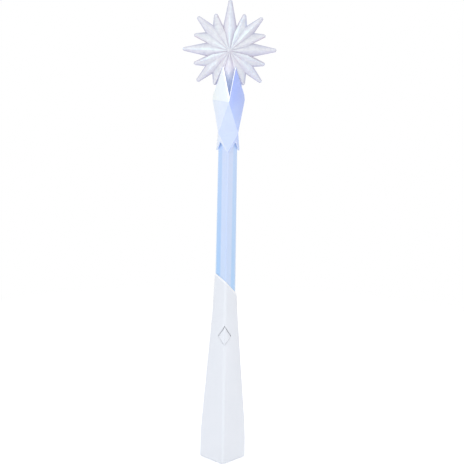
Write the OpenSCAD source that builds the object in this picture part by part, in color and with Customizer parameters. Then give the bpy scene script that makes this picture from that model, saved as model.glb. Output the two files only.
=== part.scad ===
// Toy magic wand: a white square handle with a push button, a clear ice-blue shaft and crown,
// and a pearly starburst. It stands on its foot with +Z up, its front towards -Y and the origin
// under the middle of the foot. The handle and the shaft are square with one corner to the front.

/* [Handle] */
// Room between the cells and the inner walls of the foot, towards each corner
foot_room = 3.64; // [3:0.02:4.2]
// Height where the straight taper begins
knee_h = 36; // [32:1:40]
// Length of the straight taper
grip_l = 87; // [80:1:95]
// Length from the neck to the slanted mouth, on the axis
throat_l = 25.2; // [23:0.2:28]
// How far the corners draw in from the neck to the mouth
throat_fall = 1.75; // [1.4:0.05:2.2]
// How far the mouth stands out past the shaft, at the corners
mouth_lip = 0.25; // [0.2:0.05:0.5]
// Fall of the mouth towards the right, as a share of the way across
mouth_fall_right_share = 0.98; // [0.8:0.02:1.1]
// Fall of the mouth towards the back, as a share of the way back
mouth_fall_back_share = 0.37; // [0.2:0.01:0.5]
// Depth of the bevel round the rim of the mouth
rim_bevel = 0.45; // [0.3:0.05:0.7]
// Rounding of the handle's long edges
edge_r = 2.4; // [1.8:0.1:3]
// Thickness of the handle's walls
wall = 2.0; // [1.8:0.1:2.2]
// Thickness of the foot's floor
floor_t = 2.0; // [1.8:0.1:2.6]
// Height of the bevel round the base
base_bevel = 0.9; // [0.6:0.1:1.3]

/* [Button] */
// Axis to side corner of the rhombus, as a share of the neck's corner
button_half_w_share = 0.48; // [0.44:0.005:0.52]
// Centre to upper and lower corner of the rhombus
button_half_h = 7.7; // [6.5:0.05:8.4]
// How far the side corners lie below the button's centre
button_side_drop = 0.9; // [0.5:0.1:1.3]
// How far the button's centre lies below the neck
button_drop = 16.1; // [14:0.1:19]
// How far the button's face stands proud of the handle
button_proud = 0.6; // [0.4:0.05:0.9]
// Width of the bevel round the button's face
button_bevel = 1.1; // [0.8:0.05:1.4]
// How far the button can be pressed
button_travel = 0.8; // [0.5:0.05:0.9]
// Gap round the button in its hole
button_gap = 0.3; // [0.25:0.05:0.45]

/* [Shaft] */
// Axis to corner of the shaft at the mouth
shaft_low_reach = 8.0; // [7.4:0.05:8.6]
// How far the corners draw in from the mouth to the crown
shaft_fall = 0.68; // [0.5:0.02:0.9]
// Length from the mouth, on the axis, to the points of the crown's hem
shaft_l = 107.6; // [90:0.2:130]
// Rounding of the shaft's long edges
shaft_edge_r = 0.6; // [0.4:0.1:0.9]
// Difference in corner reach between shaft and tenon, and between tenon and bore
step_in = 1.7; // [1.5:0.05:1.9]

/* [Crown] */
// Thickness of the crown's walls
crown_wall = 1.4; // [1.2:0.05:1.6]
// Height of the notches between the hem's points, above the points
notch_h = 8; // [6:0.5:10]
// Height of the square waist above the hem's points
waist_h = 15.2; // [13:0.1:18]
// Height of the girdle above the waist
girdle_h = 26.2; // [23:0.1:30]
// Axis to a corner of the girdle
girdle_reach = 12.8; // [12:0.1:15]
// Height of the petals above the girdle
petal_h = 24.8; // [22:0.1:28]
// Axis to a petal's tip
petal_reach = 7.0; // [6:0.1:8]
// Thickness of the plate that seats the star
seat_t = 3; // [2.5:0.1:3.6]

/* [Star] */
// Centre to the tips of the upright points
star_r = 38.4; // [33:0.1:45]
// Tips of the level points, as a share of that
level_tip_share = 0.9425; // [0.85:0.0025:1]
// Tips of the diagonal points, as a share of that
diagonal_tip_share = 0.92; // [0.8:0.0025:1]
// Tips of the eight short points, as a share of that
short_tip_share = 0.775; // [0.7:0.0025:0.8]
// Half the width of a point's blunt tip
tip_half_w = 1.3; // [1:0.05:1.6]
// Height of the nub above the parting plane
nub_h = 7.2; // [6:0.1:8.5]

/* [Power] */
// Radius of an AAA cell
cell_r = 5.25; // [5.1:0.05:5.3]
// Length of an AAA cell over its contacts
cell_l = 44.5; // [44:0.1:44.6]
// Length of a contact spring with the cells in
spring_l = 3.2; // [2.8:0.1:3.8]
// Turns of a contact spring
spring_turns = 3; // [2:1:3]
// Height of the battery door's lower edge
door_z = 5.5; // [4.5:0.1:6.5]
// Half the width of the battery door, as a share of the foot's corner
door_half_w_share = 0.59; // [0.55:0.005:0.62]

/* [Hidden] */
$fn = 48;

// Fits: still pieces, moving pieces, and how far a cut runs past a face
fit_gap = 0.15;
move_gap = 0.3;
overrun = 0.5;
root2 = sqrt(2);

// Corner reaches from the shaft down to the foot, which is sized to take the cells
mouth_reach = shaft_low_reach + mouth_lip;
neck_reach = mouth_reach + throat_fall;
cell_x = cell_r + fit_gap;
foot_reach = cell_x + (cell_r + wall) * root2 + foot_room - edge_r * (root2 - 1);

// Heights from the foot up
knee_z = knee_h;
neck_z = knee_z + grip_l;
mouth_axis_z = neck_z + throat_l;
mouth_spare_share = 0.187;
mouth_z = mouth_axis_z + mouth_reach * (mouth_fall_right_share + mouth_spare_share);
hem_z = mouth_axis_z + shaft_l;
notch_z = hem_z + notch_h;
waist_z = hem_z + waist_h;
girdle_z = waist_z + girdle_h;
petal_z = girdle_z + petal_h;
tip_sink = 1.1;
star_z = girdle_z + star_r - tip_sink;
span = star_z + star_r;

// Handle's soft knee: a parabola that meets the straight taper with no kink
knee_start_share = 0.236;
knee_start_z = knee_z * knee_start_share;
knee_bend = (knee_z - knee_start_z) / (2 * grip_l);
knee_reach = (foot_reach + neck_reach * knee_bend) / (1 + knee_bend);
taper = (knee_reach - neck_reach) / grip_l;
knee_steps = 4;
corner_steps = 6;
inner_edge_r = 0.3;

// Mouth plane and the least height that the tube reaches down to
mouth_normal = [mouth_fall_right_share, mouth_fall_back_share, 1];
mouth_low_z = mouth_axis_z - 2 * neck_reach;
mouth_slope = throat_fall / (mouth_z - neck_z);
rim_lean_share = 0.34;

// Cells stand side by side, the left one with its button up
cell_button_r = 1.9;
cell_button_h = 1.2;
cell_edge = 0.5;
contact_t = 0.4;
contact_inset = 1.25;
contact_half_w = cell_r - contact_inset;
contact_depth = contact_half_w - contact_t;
tab_half_w = 1.2;
tab_l = 5.5;
cells_low_z = floor_t + contact_t;
cells_top_z = cells_low_z + cell_l + spring_l;
bulkhead_z = cells_top_z + contact_t;
bulkhead_t = 1.6;
spring_wire_r = 0.25;
spring_low_r = contact_depth;
spring_cone = 1.4;
spring_top_r = spring_low_r - spring_cone;
spring_sides = 6;
spring_rings = 8;

// Shell screws and pegs
screw_head_r = 2.3;
screw_head_h = 1.7;
screw_shank_r = 1.15;
screw_boss_r = 3.0;
screw_sink = 2.4;
screw_seat_y = neck_reach - screw_sink;
screw_tip_in = 0.6;
screw_tip_y = screw_seat_y - screw_tip_in;
screw_shank_l = screw_seat_y + screw_tip_y;
pilot_gap = 0.05;
recess_w = 0.6;
recess_share = 0.55;
peg_in = 5.7;
peg_x = foot_reach - peg_in;
peg_shares = [0.31, 0.88];
peg_zs = [for (t = peg_shares) cell_l * t];
peg_r = 0.9;
peg_l = 2.2;
peg_boss_r = 1.8;

// Battery door: a ledge round the opening carries its edge, and the upper edge drafts outwards
door_half_w = foot_reach * door_half_w_share;
ledge_depth = 1.1;
ledge_w = 1.2;
door_gap = 0.2;
door_draft = 16;
hook_half_w = 5;
hook_t = 1.0;
hook_z = floor_t + hook_t;
hook_root_t = 1.6;
door_boss_r = 2.6;
door_boss_room = 0.95;
door_screw_z = bulkhead_z + bulkhead_t + door_boss_r + move_gap;
door_corner = handle_corner(door_screw_z);
door_head_sink = 4.0;
door_boss_l = 2.6;
door_head_y = door_corner - door_head_sink;
door_boss_y = door_head_y - door_boss_l;
door_head_r = 2.0;
door_head_h = 1.2;
door_shank_r = 0.95;
door_shank_l = 5.0;
door_nut_gap = 0.55;
door_top_z = door_screw_z + door_boss_r + door_boss_room + ledge_w - door_boss_y * tan(door_draft);
post_l = 5.1;
post_h = 10.1;
post_y = door_boss_y - post_l;
post_rib_z = bulkhead_z + post_h;

// Tenon and the ribs that carry it
rib_t = 1.5;
tenon_reach = shaft_low_reach - step_in;
tenon_drop = 2;
tenon_z = neck_z - tenon_drop;
tenon_rib_pitch = 5;
tenon_rib_zs = [neck_z, neck_z + tenon_rib_pitch];

// Button and what lies behind it; the board's front face is on the parting plane
button_z = neck_z - button_drop;
button_half_w = neck_reach * button_half_w_share;
flange_w = 1.0;
flange_t = 1.0;
stem_r = 1.6;
button_edge_lift = 0.2;
board_half_w_share = 0.52;
board_half_w = neck_reach * board_half_w_share;
board_l = 34;
board_t = 1.6;
board_below_button = 23.7;
board_z = button_z - board_below_button;
board_front_rib_share = 0.32;
board_back_rib_shares = [0.09, 0.84];
board_front_rib_z = board_z + board_l * board_front_rib_share;
board_back_rib_zs = [for (t = board_back_rib_shares) board_z + board_l * t];
chip_r = 2.8;
chip_h = 1.1;
chip_share = 0.21;
chip_z = board_z + board_l * chip_share;
resistor_size = [1.3, 0.6, 2.1];
resistor_x_share = 0.65;
resistor_x = board_half_w * resistor_x_share;
resistor_share = 0.92;
resistor_z = board_z + board_l * resistor_share;
capacitor_r = 2.0;
capacitor_h = 4.0;
capacitor_share = 0.41;
capacitor_z = board_z + board_l * capacitor_share;
switch_w_share = 0.566;
switch_h_share = 0.32;
plunger_r_share = 0.283;
switch_w = neck_reach * switch_w_share;
switch_h = neck_reach * switch_h_share;
plunger_r = switch_w * plunger_r_share;
plunger_out = 1.0;
plunger_in = 0.8;
plunger_gap = 0.3;
plunger_spare = 0.4;
plunger_well = plunger_in + button_travel + plunger_spare;

// Screws: the lower one between the door's post and the board, the upper one through the tenon
lower_screw_share = 0.28;
upper_screw_share = 0.4;
screw_zs = [post_rib_z + rib_t + (board_z - post_rib_z - rib_t) * lower_screw_share,
  neck_z + throat_l * upper_screw_share];
cavity_over_screw = 2.2;
cavity_top_z = screw_zs[1] + cavity_over_screw;

// Light, its legs on the board's front face and its dome in the shaft's bore
bore_reach = tenon_reach - step_in;
leg_w = 0.5;
leg_x = 1.27;
leg_drop = 6;
light_over_board = 1.6;
light_z = board_z + board_l + light_over_board;
light_r_share = 0.52;
light_r = bore_reach * light_r_share;
light_flange_w = 0.4;
light_flange_r = light_r + light_flange_w;
light_flange_h = 1.0;
light_l = 6.0;

// Leads, from the upper contacts' tabs to the board: place across, depth, and share of the way up
lead_r = 0.55;
lead_sides = 8;
lead_above_bulkhead = 2.7;
lead_on_board = 4;
lead_low_z = bulkhead_z + lead_above_bulkhead;
lead_top_z = board_z + lead_on_board;
lead_end_share = 0.73;
lead_end_x = board_half_w * lead_end_share;
lead_bow = 0.7;
lead_touch = 0.05;
lead_shares = [0, 0.08, 0.2, 0.38, 0.56, 0.74, 0.86, 0.94, 1];
lead_sway_shares = [0, 0, 0, 0.18, 0.56, 0.92, 1, 1, 1];
lead_route = [for (i = [0:len(lead_shares) - 1]) let (t = lead_shares[i], e = lead_sway_shares[i])
  [cell_x + (lead_end_x - cell_x) * e,
    contact_t / 2 * (e - 1) - lead_r - lead_touch - lead_bow * sin(180 * t),
    lead_low_z + (lead_top_z - lead_low_z) * t]];

// Shaft's spigot in the crown, the crown's inner faces and its blunt tips
shaft_top_reach = shaft_low_reach - shaft_fall;
shoulder_up = 2;
shoulder_z = hem_z + shoulder_up;
spigot_share = 0.847;
spigot_half_w = shaft_top_reach * spigot_share;
hem_wall = 1.5;
hem_gap = 0.28;
hem_reach = shaft_top_reach + hem_gap + hem_wall;
waist_half_w = spigot_half_w + fit_gap + crown_wall;
petal_blunt = 0.45;
hem_blunt = 0.85;
seat_z = girdle_z - seat_t;

// Star's facets: valleys beside the upright and level points, and between short and diagonal ones
level_tip_r = star_r * level_tip_share;
diagonal_tip_r = star_r * diagonal_tip_share;
short_tip_r = star_r * short_tip_share;
main_valley_a = 15.8;
main_valley_share = 0.49;
main_valley_r = star_r * main_valley_share;
side_valley_a = 35;
side_valley_share = 0.594;
side_valley_r = star_r * side_valley_share;
nub_r = 2.4;
nub_ridge_share = 0.875;
nub_valley_share = 0.764;
nub_ridge_h = nub_h * nub_ridge_share;
nub_valley_h = nub_h * nub_valley_share;
crest_share = 0.482;
crest_r = star_r * crest_share;
crest_half_ws = [1.9, 1.0, 1.3];
crest_h_shares = [0.486, 0.403, 0.417];
crest_hs = [for (t = crest_h_shares) nub_h * t];
tip_top_share = 0.55;
tip_top_h_share = 0.16;
tip_top_half_w = tip_half_w * tip_top_share;
tip_top_h = nub_h * tip_top_h_share;
tip_chamfer = 0.8;
hollow_r_share = 0.378;
hollow_h_share = 0.583;
hollow_r = star_r * hollow_r_share;
hollow_h = nub_h * hollow_h_share;
star_peg_r = 1.0;
star_peg_l = 1.6;
star_peg_share = 0.484;
star_peg_at = star_r * star_peg_share;

function unit(v) = v / norm(v);

// Corners of a square, one to the front, with rounded corners
function diamond(reach, round_r, steps) = [
  for (k = [0:3]) for (i = [0:steps])
    let (a = 90 * k - 45 + 90 * i / steps, c = reach - round_r)
    [c * cos(90 * k) + round_r * cos(a), c * sin(90 * k) + round_r * sin(a)]];

// Axis to the rounded corner of the handle at a height
function handle_reach(z) =
  z < base_bevel ? foot_reach - (base_bevel - z) :
  z < knee_start_z ? foot_reach :
  z < knee_z ? foot_reach - (foot_reach - knee_reach)
    * pow((z - knee_start_z) / (knee_z - knee_start_z), 2) :
  z < neck_z ? knee_reach - taper * (z - knee_z) :
  neck_reach - mouth_slope * (z - neck_z);

// Axis to the sharp corner where the flat sides would meet
function handle_corner(z) = handle_reach(z) + edge_r * (root2 - 1);

function shaft_reach(z) =
  let (t = (z - mouth_axis_z) / (shoulder_z - mouth_axis_z))
  shaft_low_reach + (shaft_top_reach - shaft_low_reach) * t;

// Solid through a stack of like rings, each at its own height
module loft(rings, levels) {
  n = len(rings[0]);
  top = len(rings) - 1;
  polyhedron(
    points = [for (j = [0:top]) for (p = rings[j]) [p.x, p.y, levels[j]]],
    faces = concat(
      [[for (i = [0:n - 1]) i]],
      [[for (i = [n - 1:-1:0]) top * n + i]],
      [for (j = [0:top - 1]) for (i = [0:n - 1])
        [j * n + i, (j + 1) * n + i, (j + 1) * n + (i + 1) % n, j * n + (i + 1) % n]]));
}

// The handle's form, grown or shrunk by a wall, between two heights
module handle_form(grow, from_z, to_z) {
  marks = concat([base_bevel],
    [for (i = [0:knee_steps]) knee_start_z + (knee_z - knee_start_z) * i / knee_steps], [neck_z]);
  levels = concat([from_z], [for (z = marks) if (z > from_z && z < to_z) z], [to_z]);
  round_r = max(edge_r + grow, inner_edge_r);
  loft([for (z = levels)
    diamond(handle_corner(z) + grow * root2 - round_r * (root2 - 1), round_r, corner_steps)], levels);
}

// Everything on the far side of a plane
module beyond(point, normal) {
  n = unit(normal);
  translate(point) rotate([0, acos(n.z), atan2(n.y, n.x)])
    translate([-span / 2, -span / 2, 0]) cube(span);
}

// A round bar along Y between two depths
module bar(r, x, z, from_y, to_y) {
  translate([x, to_y, z]) rotate([90, 0, 0]) cylinder(r = r, h = to_y - from_y);
}

// A level slab across the handle, on one side of the parting plane
module slab(z, t, from_y, to_y) {
  translate([-foot_reach, from_y, z]) cube([2 * foot_reach, to_y - from_y, t]);
}

module square_bar(reach, from_z, to_z) {
  translate([0, 0, from_z]) linear_extrude(to_z - from_z)
    polygon(diamond(reach, inner_edge_r, corner_steps));
}

// Everything above the slanted mouth, with the bevel of its rim on all four sides
module mouth_cut() {
  beyond([0, 0, mouth_axis_z], mouth_normal);
  for (sx = [-1, 1]) for (sy = [-1, 1]) {
    face = unit([sx, sy, mouth_slope]);
    drop = (sx * mouth_fall_right_share + sy * mouth_fall_back_share) / 2;
    reach = handle_corner(neck_z) + mouth_slope * neck_z;
    edge_z = (mouth_axis_z - drop * reach) / (1 - drop * mouth_slope);
    out = handle_corner(edge_z) / 2;
    lean = unit(face + rim_lean_share * unit(mouth_normal));
    beyond([sx * out, sy * out, edge_z] - rim_bevel * lean, lean);
  }
}

module front_half() {
  translate([-span / 2, -span, -overrun]) cube(span);
}

module back_half() {
  translate([-span / 2, 0, -overrun]) cube(span);
}

// Hollow for the shaft's tenon
module tenon_socket() {
  square_bar(tenon_reach + fit_gap * root2, tenon_z - fit_gap, mouth_z);
}

// Slots in the bulkhead for the upper contacts' tabs
module tab_slots() {
  for (s = [-1, 1])
    translate([s * cell_x - tab_half_w - fit_gap, -contact_t - fit_gap, bulkhead_z - overrun])
      cube([2 * (tab_half_w + fit_gap), 2 * (contact_t + fit_gap), bulkhead_t + 2 * overrun]);
}

// Outline of the button seen from the front, grown or shrunk by a share
function rhombus(share) = share * [[0, button_half_h], [-button_half_w, -button_side_drop],
  [0, -button_half_h], [button_half_w, -button_side_drop]];

module handle_front_shell() color("#eceff4") {
  difference() {
    intersection() {
      handle_form(0, 0, mouth_z);
      front_half();
    }
    difference() {
      handle_form(-wall, floor_t, cavity_top_z);
      slab(bulkhead_z, bulkhead_t, -foot_reach, 0);
      slab(board_front_rib_z, rib_t, -foot_reach, 0);
      for (z = tenon_rib_zs) slab(z, rib_t, -foot_reach, 0);
      for (z = screw_zs) bar(screw_boss_r, 0, z, -foot_reach, 0);
      for (s = [-1, 1]) for (z = peg_zs) bar(peg_boss_r, s * peg_x, z, -foot_reach, 0);
    }
    tab_slots();
    tenon_socket();
    for (z = screw_zs)
      bar(screw_shank_r + pilot_gap, 0, z, screw_seat_y - screw_shank_l - move_gap, overrun);
    translate([0, 0, button_z]) rotate([90, 0, 0]) linear_extrude(foot_reach)
      offset(delta = button_gap) polygon(rhombus(1));
    mouth_cut();
  }
  for (s = [-1, 1]) for (z = peg_zs) bar(peg_r, s * peg_x, z, -overrun, peg_l);
}

// Outline of the door seen from the side, swept across the back corner
module door_block(grow) {
  y = foot_reach + overrun;
  low = door_z - grow;
  high = door_top_z + grow;
  half_w = door_half_w + grow;
  translate([-half_w, 0, 0]) rotate([90, 0, 90]) linear_extrude(2 * half_w)
    polygon([[0, low], [y, low], [y, high + y * tan(door_draft)], [0, high]]);
}

module handle_back_shell() color("#e8ebf1") {
  difference() {
    intersection() {
      handle_form(0, 0, mouth_z);
      back_half();
    }
    difference() {
      handle_form(-wall, floor_t, cavity_top_z);
      slab(bulkhead_z, bulkhead_t, 0, foot_reach);
      for (z = board_back_rib_zs) slab(z, rib_t, board_t, foot_reach);
      for (z = tenon_rib_zs) slab(z, rib_t, 0, foot_reach);
      slab(post_rib_z, rib_t, 0, foot_reach);
      for (z = screw_zs) bar(screw_boss_r, 0, z, 0, foot_reach);
      for (s = [-1, 1]) for (z = peg_zs) bar(peg_boss_r, s * peg_x, z, 0, foot_reach);
      translate([-door_boss_r, post_y, bulkhead_z])
        cube([2 * door_boss_r, door_boss_y - fit_gap - post_y, post_rib_z - bulkhead_z]);
    }
    tab_slots();
    tenon_socket();
    for (z = screw_zs) {
      bar(screw_shank_r + fit_gap, 0, z, -overrun, foot_reach);
      bar(screw_head_r + fit_gap, 0, z, screw_seat_y, foot_reach);
    }
    for (s = [-1, 1]) for (z = peg_zs)
      bar(peg_r + pilot_gap, s * peg_x, z, -overrun, peg_l + fit_gap);
    difference() {
      door_block(door_gap);
      handle_form(-ledge_depth - fit_gap, 0, neck_z);
    }
    difference() {
      door_block(-ledge_w);
      handle_form(-wall - move_gap, 0, neck_z);
    }
    bar(door_shank_r + door_nut_gap, 0, door_screw_z, post_y - overrun, foot_reach);
    mouth_cut();
  }
}

// Pan-head screw along Y, its head towards the back
module screw(head_r, head_h, shank_r, shank_l) {
  difference() {
    union() {
      bar(head_r, 0, 0, 0, head_h);
      bar(shank_r, 0, 0, -shank_l, overrun);
    }
    for (a = [0, 90]) rotate([0, a, 0])
      translate([-recess_w / 2, head_h * (1 - recess_share), -head_r * recess_share])
        cube([recess_w, head_h, 2 * head_r * recess_share]);
  }
}

module shell_screws() color("#b9bcc2") for (z = screw_zs)
  translate([0, screw_seat_y, z]) screw(screw_head_r, screw_head_h, screw_shank_r, screw_shank_l);

module battery_door() color("#e8ebf1") {
  difference() {
    union() {
      difference() {
        intersection() {
          handle_form(0, 0, neck_z);
          door_block(0);
        }
        handle_form(-wall, 0, neck_z);
        difference() {
          handle_form(-ledge_depth, 0, neck_z);
          door_block(-ledge_w - door_gap);
        }
      }
      intersection() {
        handle_form(-ledge_depth - fit_gap, 0, neck_z);
        bar(door_boss_r, 0, door_screw_z, door_boss_y, foot_reach);
      }
      hook();
    }
    bar(door_shank_r + fit_gap, 0, door_screw_z, 0, foot_reach);
    bar(door_head_r + fit_gap, 0, door_screw_z, door_head_y, foot_reach);
  }
}

// Hook at the door's lower end, behind the wall under the opening
module hook() {
  root_z = door_z + ledge_w + 2 * door_gap;
  difference() {
    union() {
      intersection() {
        handle_form(-wall - move_gap, 0, neck_z);
        translate([-hook_half_w, 0, hook_z])
          cube([2 * hook_half_w, foot_reach, root_z + hook_root_t - hook_z]);
      }
      intersection() {
        handle_form(-ledge_depth - fit_gap, 0, neck_z);
        translate([-hook_half_w, 0, root_z]) cube([2 * hook_half_w, foot_reach, hook_root_t]);
      }
    }
    handle_form(-wall - move_gap - hook_t, 0, neck_z);
  }
}

module door_screw() color("#b9bcc2") translate([0, door_head_y, door_screw_z])
  screw(door_head_r, door_head_h, door_shank_r, door_shank_l);

// AAA cell, standing on its flat end
module cell() {
  body_l = cell_l - cell_button_h;
  rotate_extrude() polygon([[0, 0], [cell_r - cell_edge, 0], [cell_r, cell_edge],
    [cell_r, body_l - cell_edge], [cell_r - cell_edge, body_l], [cell_button_r, body_l],
    [cell_button_r, cell_l], [0, cell_l]]);
}

module left_battery() color("#3f6f5b") translate([-cell_x, 0, cells_top_z - cell_l]) cell();

module right_battery() color("#3f6f5b") translate([cell_x, 0, cells_low_z + cell_l])
  rotate([180, 0, 0]) cell();

module lower_contact() color("#c9c7bd") {
  half_l = cell_x + contact_half_w;
  translate([-half_l, -contact_depth, floor_t]) cube([2 * half_l, 2 * contact_depth, contact_t]);
}

// Upper contact with its solder tab, which stands up through the bulkhead
module upper_contact(side) {
  translate([side * cell_x - contact_half_w, -contact_depth, cells_top_z])
    cube([2 * contact_half_w, 2 * contact_depth, contact_t]);
  translate([side * cell_x - tab_half_w, -contact_t / 2, cells_top_z])
    cube([2 * tab_half_w, contact_t, tab_l]);
}

module left_contact() color("#c9c7bd") upper_contact(-1);

module right_contact() color("#c9c7bd") upper_contact(1);

// Points of a conical spring's wire: its centre line, then a ring round it
function spring_centre(t) =
  let (r = spring_low_r + (spring_top_r - spring_low_r) * t)
  [r, spring_wire_r + (spring_l - 2 * spring_wire_r) * t, 360 * spring_turns * t];

function spring_ring(t) = let (c = spring_centre(t)) [
  for (k = [0:spring_sides - 1])
    let (a = 360 * k / spring_sides, r = c[0] + spring_wire_r * cos(a))
    [r * cos(c[2]), r * sin(c[2]), c[1] + spring_wire_r * sin(a)]];

spring_count = spring_turns * spring_rings;
spring_points = [for (j = [0:spring_count]) for (p = spring_ring(j / spring_count)) p];
spring_self_gap = min([for (j = [0:spring_count - spring_rings])
  let (a = spring_centre(j / spring_count), b = spring_centre((j + spring_rings) / spring_count))
  norm([a[0] - b[0], a[1] - b[1]]) - 2 * spring_wire_r]);
echo(spring_self_gap = spring_self_gap);

module coil() {
  n = spring_sides;
  polyhedron(points = spring_points, faces = concat(
    [[for (i = [n - 1:-1:0]) i]],
    [[for (i = [0:n - 1]) spring_count * n + i]],
    [for (j = [0:spring_count - 1]) for (i = [0:n - 1]) each [
      [j * n + i, j * n + (i + 1) % n, (j + 1) * n + (i + 1) % n],
      [j * n + i, (j + 1) * n + (i + 1) % n, (j + 1) * n + i]]]));
}

module lower_spring() color("#d6d6d2") translate([-cell_x, 0, cells_low_z]) coil();

module upper_spring() color("#d6d6d2") translate([cell_x, 0, cells_top_z]) rotate([180, 0, 0]) coil();

module lead(side) {
  ring = [for (k = [0:lead_sides - 1]) lead_r * [cos(360 * k / lead_sides), sin(360 * k / lead_sides)]];
  loft([for (p = lead_route) [for (q = ring) [side * p.x + q.x, p.y + q.y]]],
    [for (p = lead_route) p.z]);
}

module red_lead() color("#b8322c") lead(-1);

module black_lead() color("#26282b") lead(1);

module circuit_board() color("#2f6b45")
  translate([-board_half_w, 0, board_z]) cube([2 * board_half_w, board_t, board_l]);

module chip_blob() color("#1c1d20")
  translate([0, 0, chip_z]) rotate([90, 0, 0]) cylinder(r1 = chip_r, r2 = chip_r - chip_h, h = chip_h);

module resistors() color("#23262b") for (s = [-1, 1])
  translate([s * resistor_x - resistor_size.x / 2, -resistor_size.y, resistor_z - resistor_size.z / 2])
    cube(resistor_size);

module capacitor() color("#2a3550") bar(capacitor_r, 0, capacitor_z, board_t, board_t + capacitor_h);

module switch_body() color("#2b2d31") difference() {
  translate([-switch_w / 2, -switch_h, button_z - switch_w / 2]) cube([switch_w, switch_h, switch_w]);
  bar(plunger_r + plunger_gap, 0, button_z, -switch_h - overrun, plunger_well - switch_h);
}

module switch_plunger() color("#4a4d52")
  bar(plunger_r, 0, button_z, -switch_h - plunger_out, plunger_in - switch_h);

// A point on the folded front of the handle, its fold on the rounded edge, raised square to the faces
function fold_point(x, z, lift) =
  [x, (x == 0 ? -handle_reach(z) : abs(x) - handle_corner(z)) - lift * root2, z];

function fold_ring(share, lift) = [
  for (p = rhombus(share)) fold_point(p.x, button_z + p.y, lift)];

// Solid through a stack of folded rhombuses, from back to front
module folded(rings) {
  top = len(rings) - 1;
  polyhedron(points = [for (r = rings) for (p = r) p], faces = concat(
    [[0, 1, 2], [0, 2, 3], [4 * top + 2, 4 * top + 1, 4 * top], [4 * top + 3, 4 * top + 2, 4 * top]],
    [for (j = [0:top - 1]) for (i = [0:3]) each [
      [4 * j + i, 4 * j + 4 + i, 4 * j + 4 + (i + 1) % 4],
      [4 * j + i, 4 * j + 4 + (i + 1) % 4, 4 * j + (i + 1) % 4]]]));
}

module button_cap() color("#eef1f5") {
  slant = norm([button_half_w, button_half_h]);
  face_share = 1 - button_bevel * slant / (button_half_w * button_half_h);
  flange_share = 1 + flange_w * slant / (button_half_w * button_half_h);
  flange_lift = -wall - move_gap;
  stem_y = handle_reach(button_z) + (flange_lift - flange_t / 2) * root2;
  union() {
    folded([
      fold_ring(1, flange_lift - flange_t / 2),
      fold_ring(1, button_edge_lift),
      fold_ring(face_share, button_proud)]);
    folded([
      fold_ring(flange_share, flange_lift - flange_t),
      fold_ring(flange_share, flange_lift)]);
    bar(stem_r, 0, button_z, -stem_y, -switch_h - plunger_out);
  }
}

module light_lens() color("#dfe9f5", 0.6) translate([0, -leg_w / 2, light_z]) {
  cylinder(r = light_flange_r, h = light_flange_h);
  cylinder(r = light_r, h = light_l);
  translate([0, 0, light_l]) sphere(r = light_r);
}

module light_legs() color("#c4c6c9") for (s = [-1, 1])
  translate([s * leg_x - leg_w / 2, -leg_w, light_z - leg_drop]) cube([leg_w, leg_w, leg_drop]);

module shaft() color("#cfe2fe", 0.6) {
  spigot_z = seat_z - fit_gap;
  difference() {
    union() {
      difference() {
        loft([for (z = [mouth_low_z, spigot_z]) diamond(shaft_reach(z), shaft_edge_r, corner_steps)],
          [mouth_low_z, spigot_z]);
        beyond([0, 0, mouth_axis_z + fit_gap], -mouth_normal);
        difference() {
          translate([-span / 2, -span / 2, shoulder_z]) cube(span);
          translate([-spigot_half_w, -spigot_half_w, 0])
            cube([2 * spigot_half_w, 2 * spigot_half_w, span]);
        }
      }
      square_bar(tenon_reach, tenon_z, mouth_z);
    }
    square_bar(bore_reach, tenon_z - overrun, span);
    bar(screw_shank_r + fit_gap, 0, screw_zs[1], -foot_reach, foot_reach);
  }
}

// Four-sided gem: square rings, each turned an eighth from the one below, joined by triangles
module gem(levels, reaches) {
  top = len(levels) - 1;
  polyhedron(
    points = [for (j = [0:top]) for (k = [0:3])
      let (a = 45 * j + 90 * k) [reaches[j] * cos(a), reaches[j] * sin(a), levels[j]]],
    faces = concat([[0, 1, 2, 3]], [[4 * top + 3, 4 * top + 2, 4 * top + 1, 4 * top]],
      [for (j = [0:top - 1]) for (k = [0:3]) [4 * j + k, 4 * j + 4 + k, 4 * j + (k + 1) % 4]],
      [for (j = [0:top - 1]) for (k = [0:3]) [4 * j + k, 4 * j + 4 + (k + 3) % 4, 4 * j + 4 + k]]));
}

module crown_outside() {
  gem([hem_z, waist_z, girdle_z, petal_z], [hem_reach, waist_half_w * root2, girdle_reach, petal_reach]);
}

module crown_inside(gap) {
  gem([hem_z - overrun, waist_z, girdle_z, petal_z + overrun],
    [hem_reach - hem_wall - gap, (waist_half_w - crown_wall - gap) * root2,
      girdle_reach - (crown_wall + gap) * root2, petal_reach - crown_wall - gap]);
}

// V cut right through, pointing down or up, across one pair of sides
module vee(point_z, open_z, half_w, run) {
  rotate([90, 0, 0]) linear_extrude(span, center = true)
    polygon([[0, point_z], [half_w, open_z], [half_w, open_z + run], [-half_w, open_z + run],
      [-half_w, open_z]]);
}

module crown() color("#cfe0fd", 0.6) difference() {
  crown_outside();
  crown_inside(0);
  for (a = [0, 90]) rotate([0, 0, a])
    vee(girdle_z, petal_z, petal_reach / root2 - petal_blunt, overrun);
  for (a = [45, 135]) rotate([0, 0, a])
    vee(notch_z, hem_z, hem_reach / root2 - hem_blunt, -overrun);
}

module star_seat() color("#d6e4fb", 0.6) {
  reach = star_z - girdle_z;
  slot_half_w = tip_half_w + (star_r - reach) + fit_gap;
  crest_slope = (crest_hs[0] - tip_top_h) / (star_r - crest_r);
  slot_half_d = tip_top_h + fit_gap + (star_r - reach) * crest_slope;
  difference() {
    intersection() {
      crown_inside(fit_gap);
      translate([-span / 2, -span / 2, seat_z]) cube([span, span, seat_t]);
    }
    translate([-slot_half_w, -slot_half_d, seat_z - overrun])
      cube([2 * slot_half_w, 2 * slot_half_d, seat_t + 2 * overrun]);
  }
}

// Star points run counter-clockwise from the top: 0 main, 1 short, 2 diagonal, 3 short, and round again
star_count = 16;
star_step = 360 / star_count;
spike_size = 9;

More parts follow.
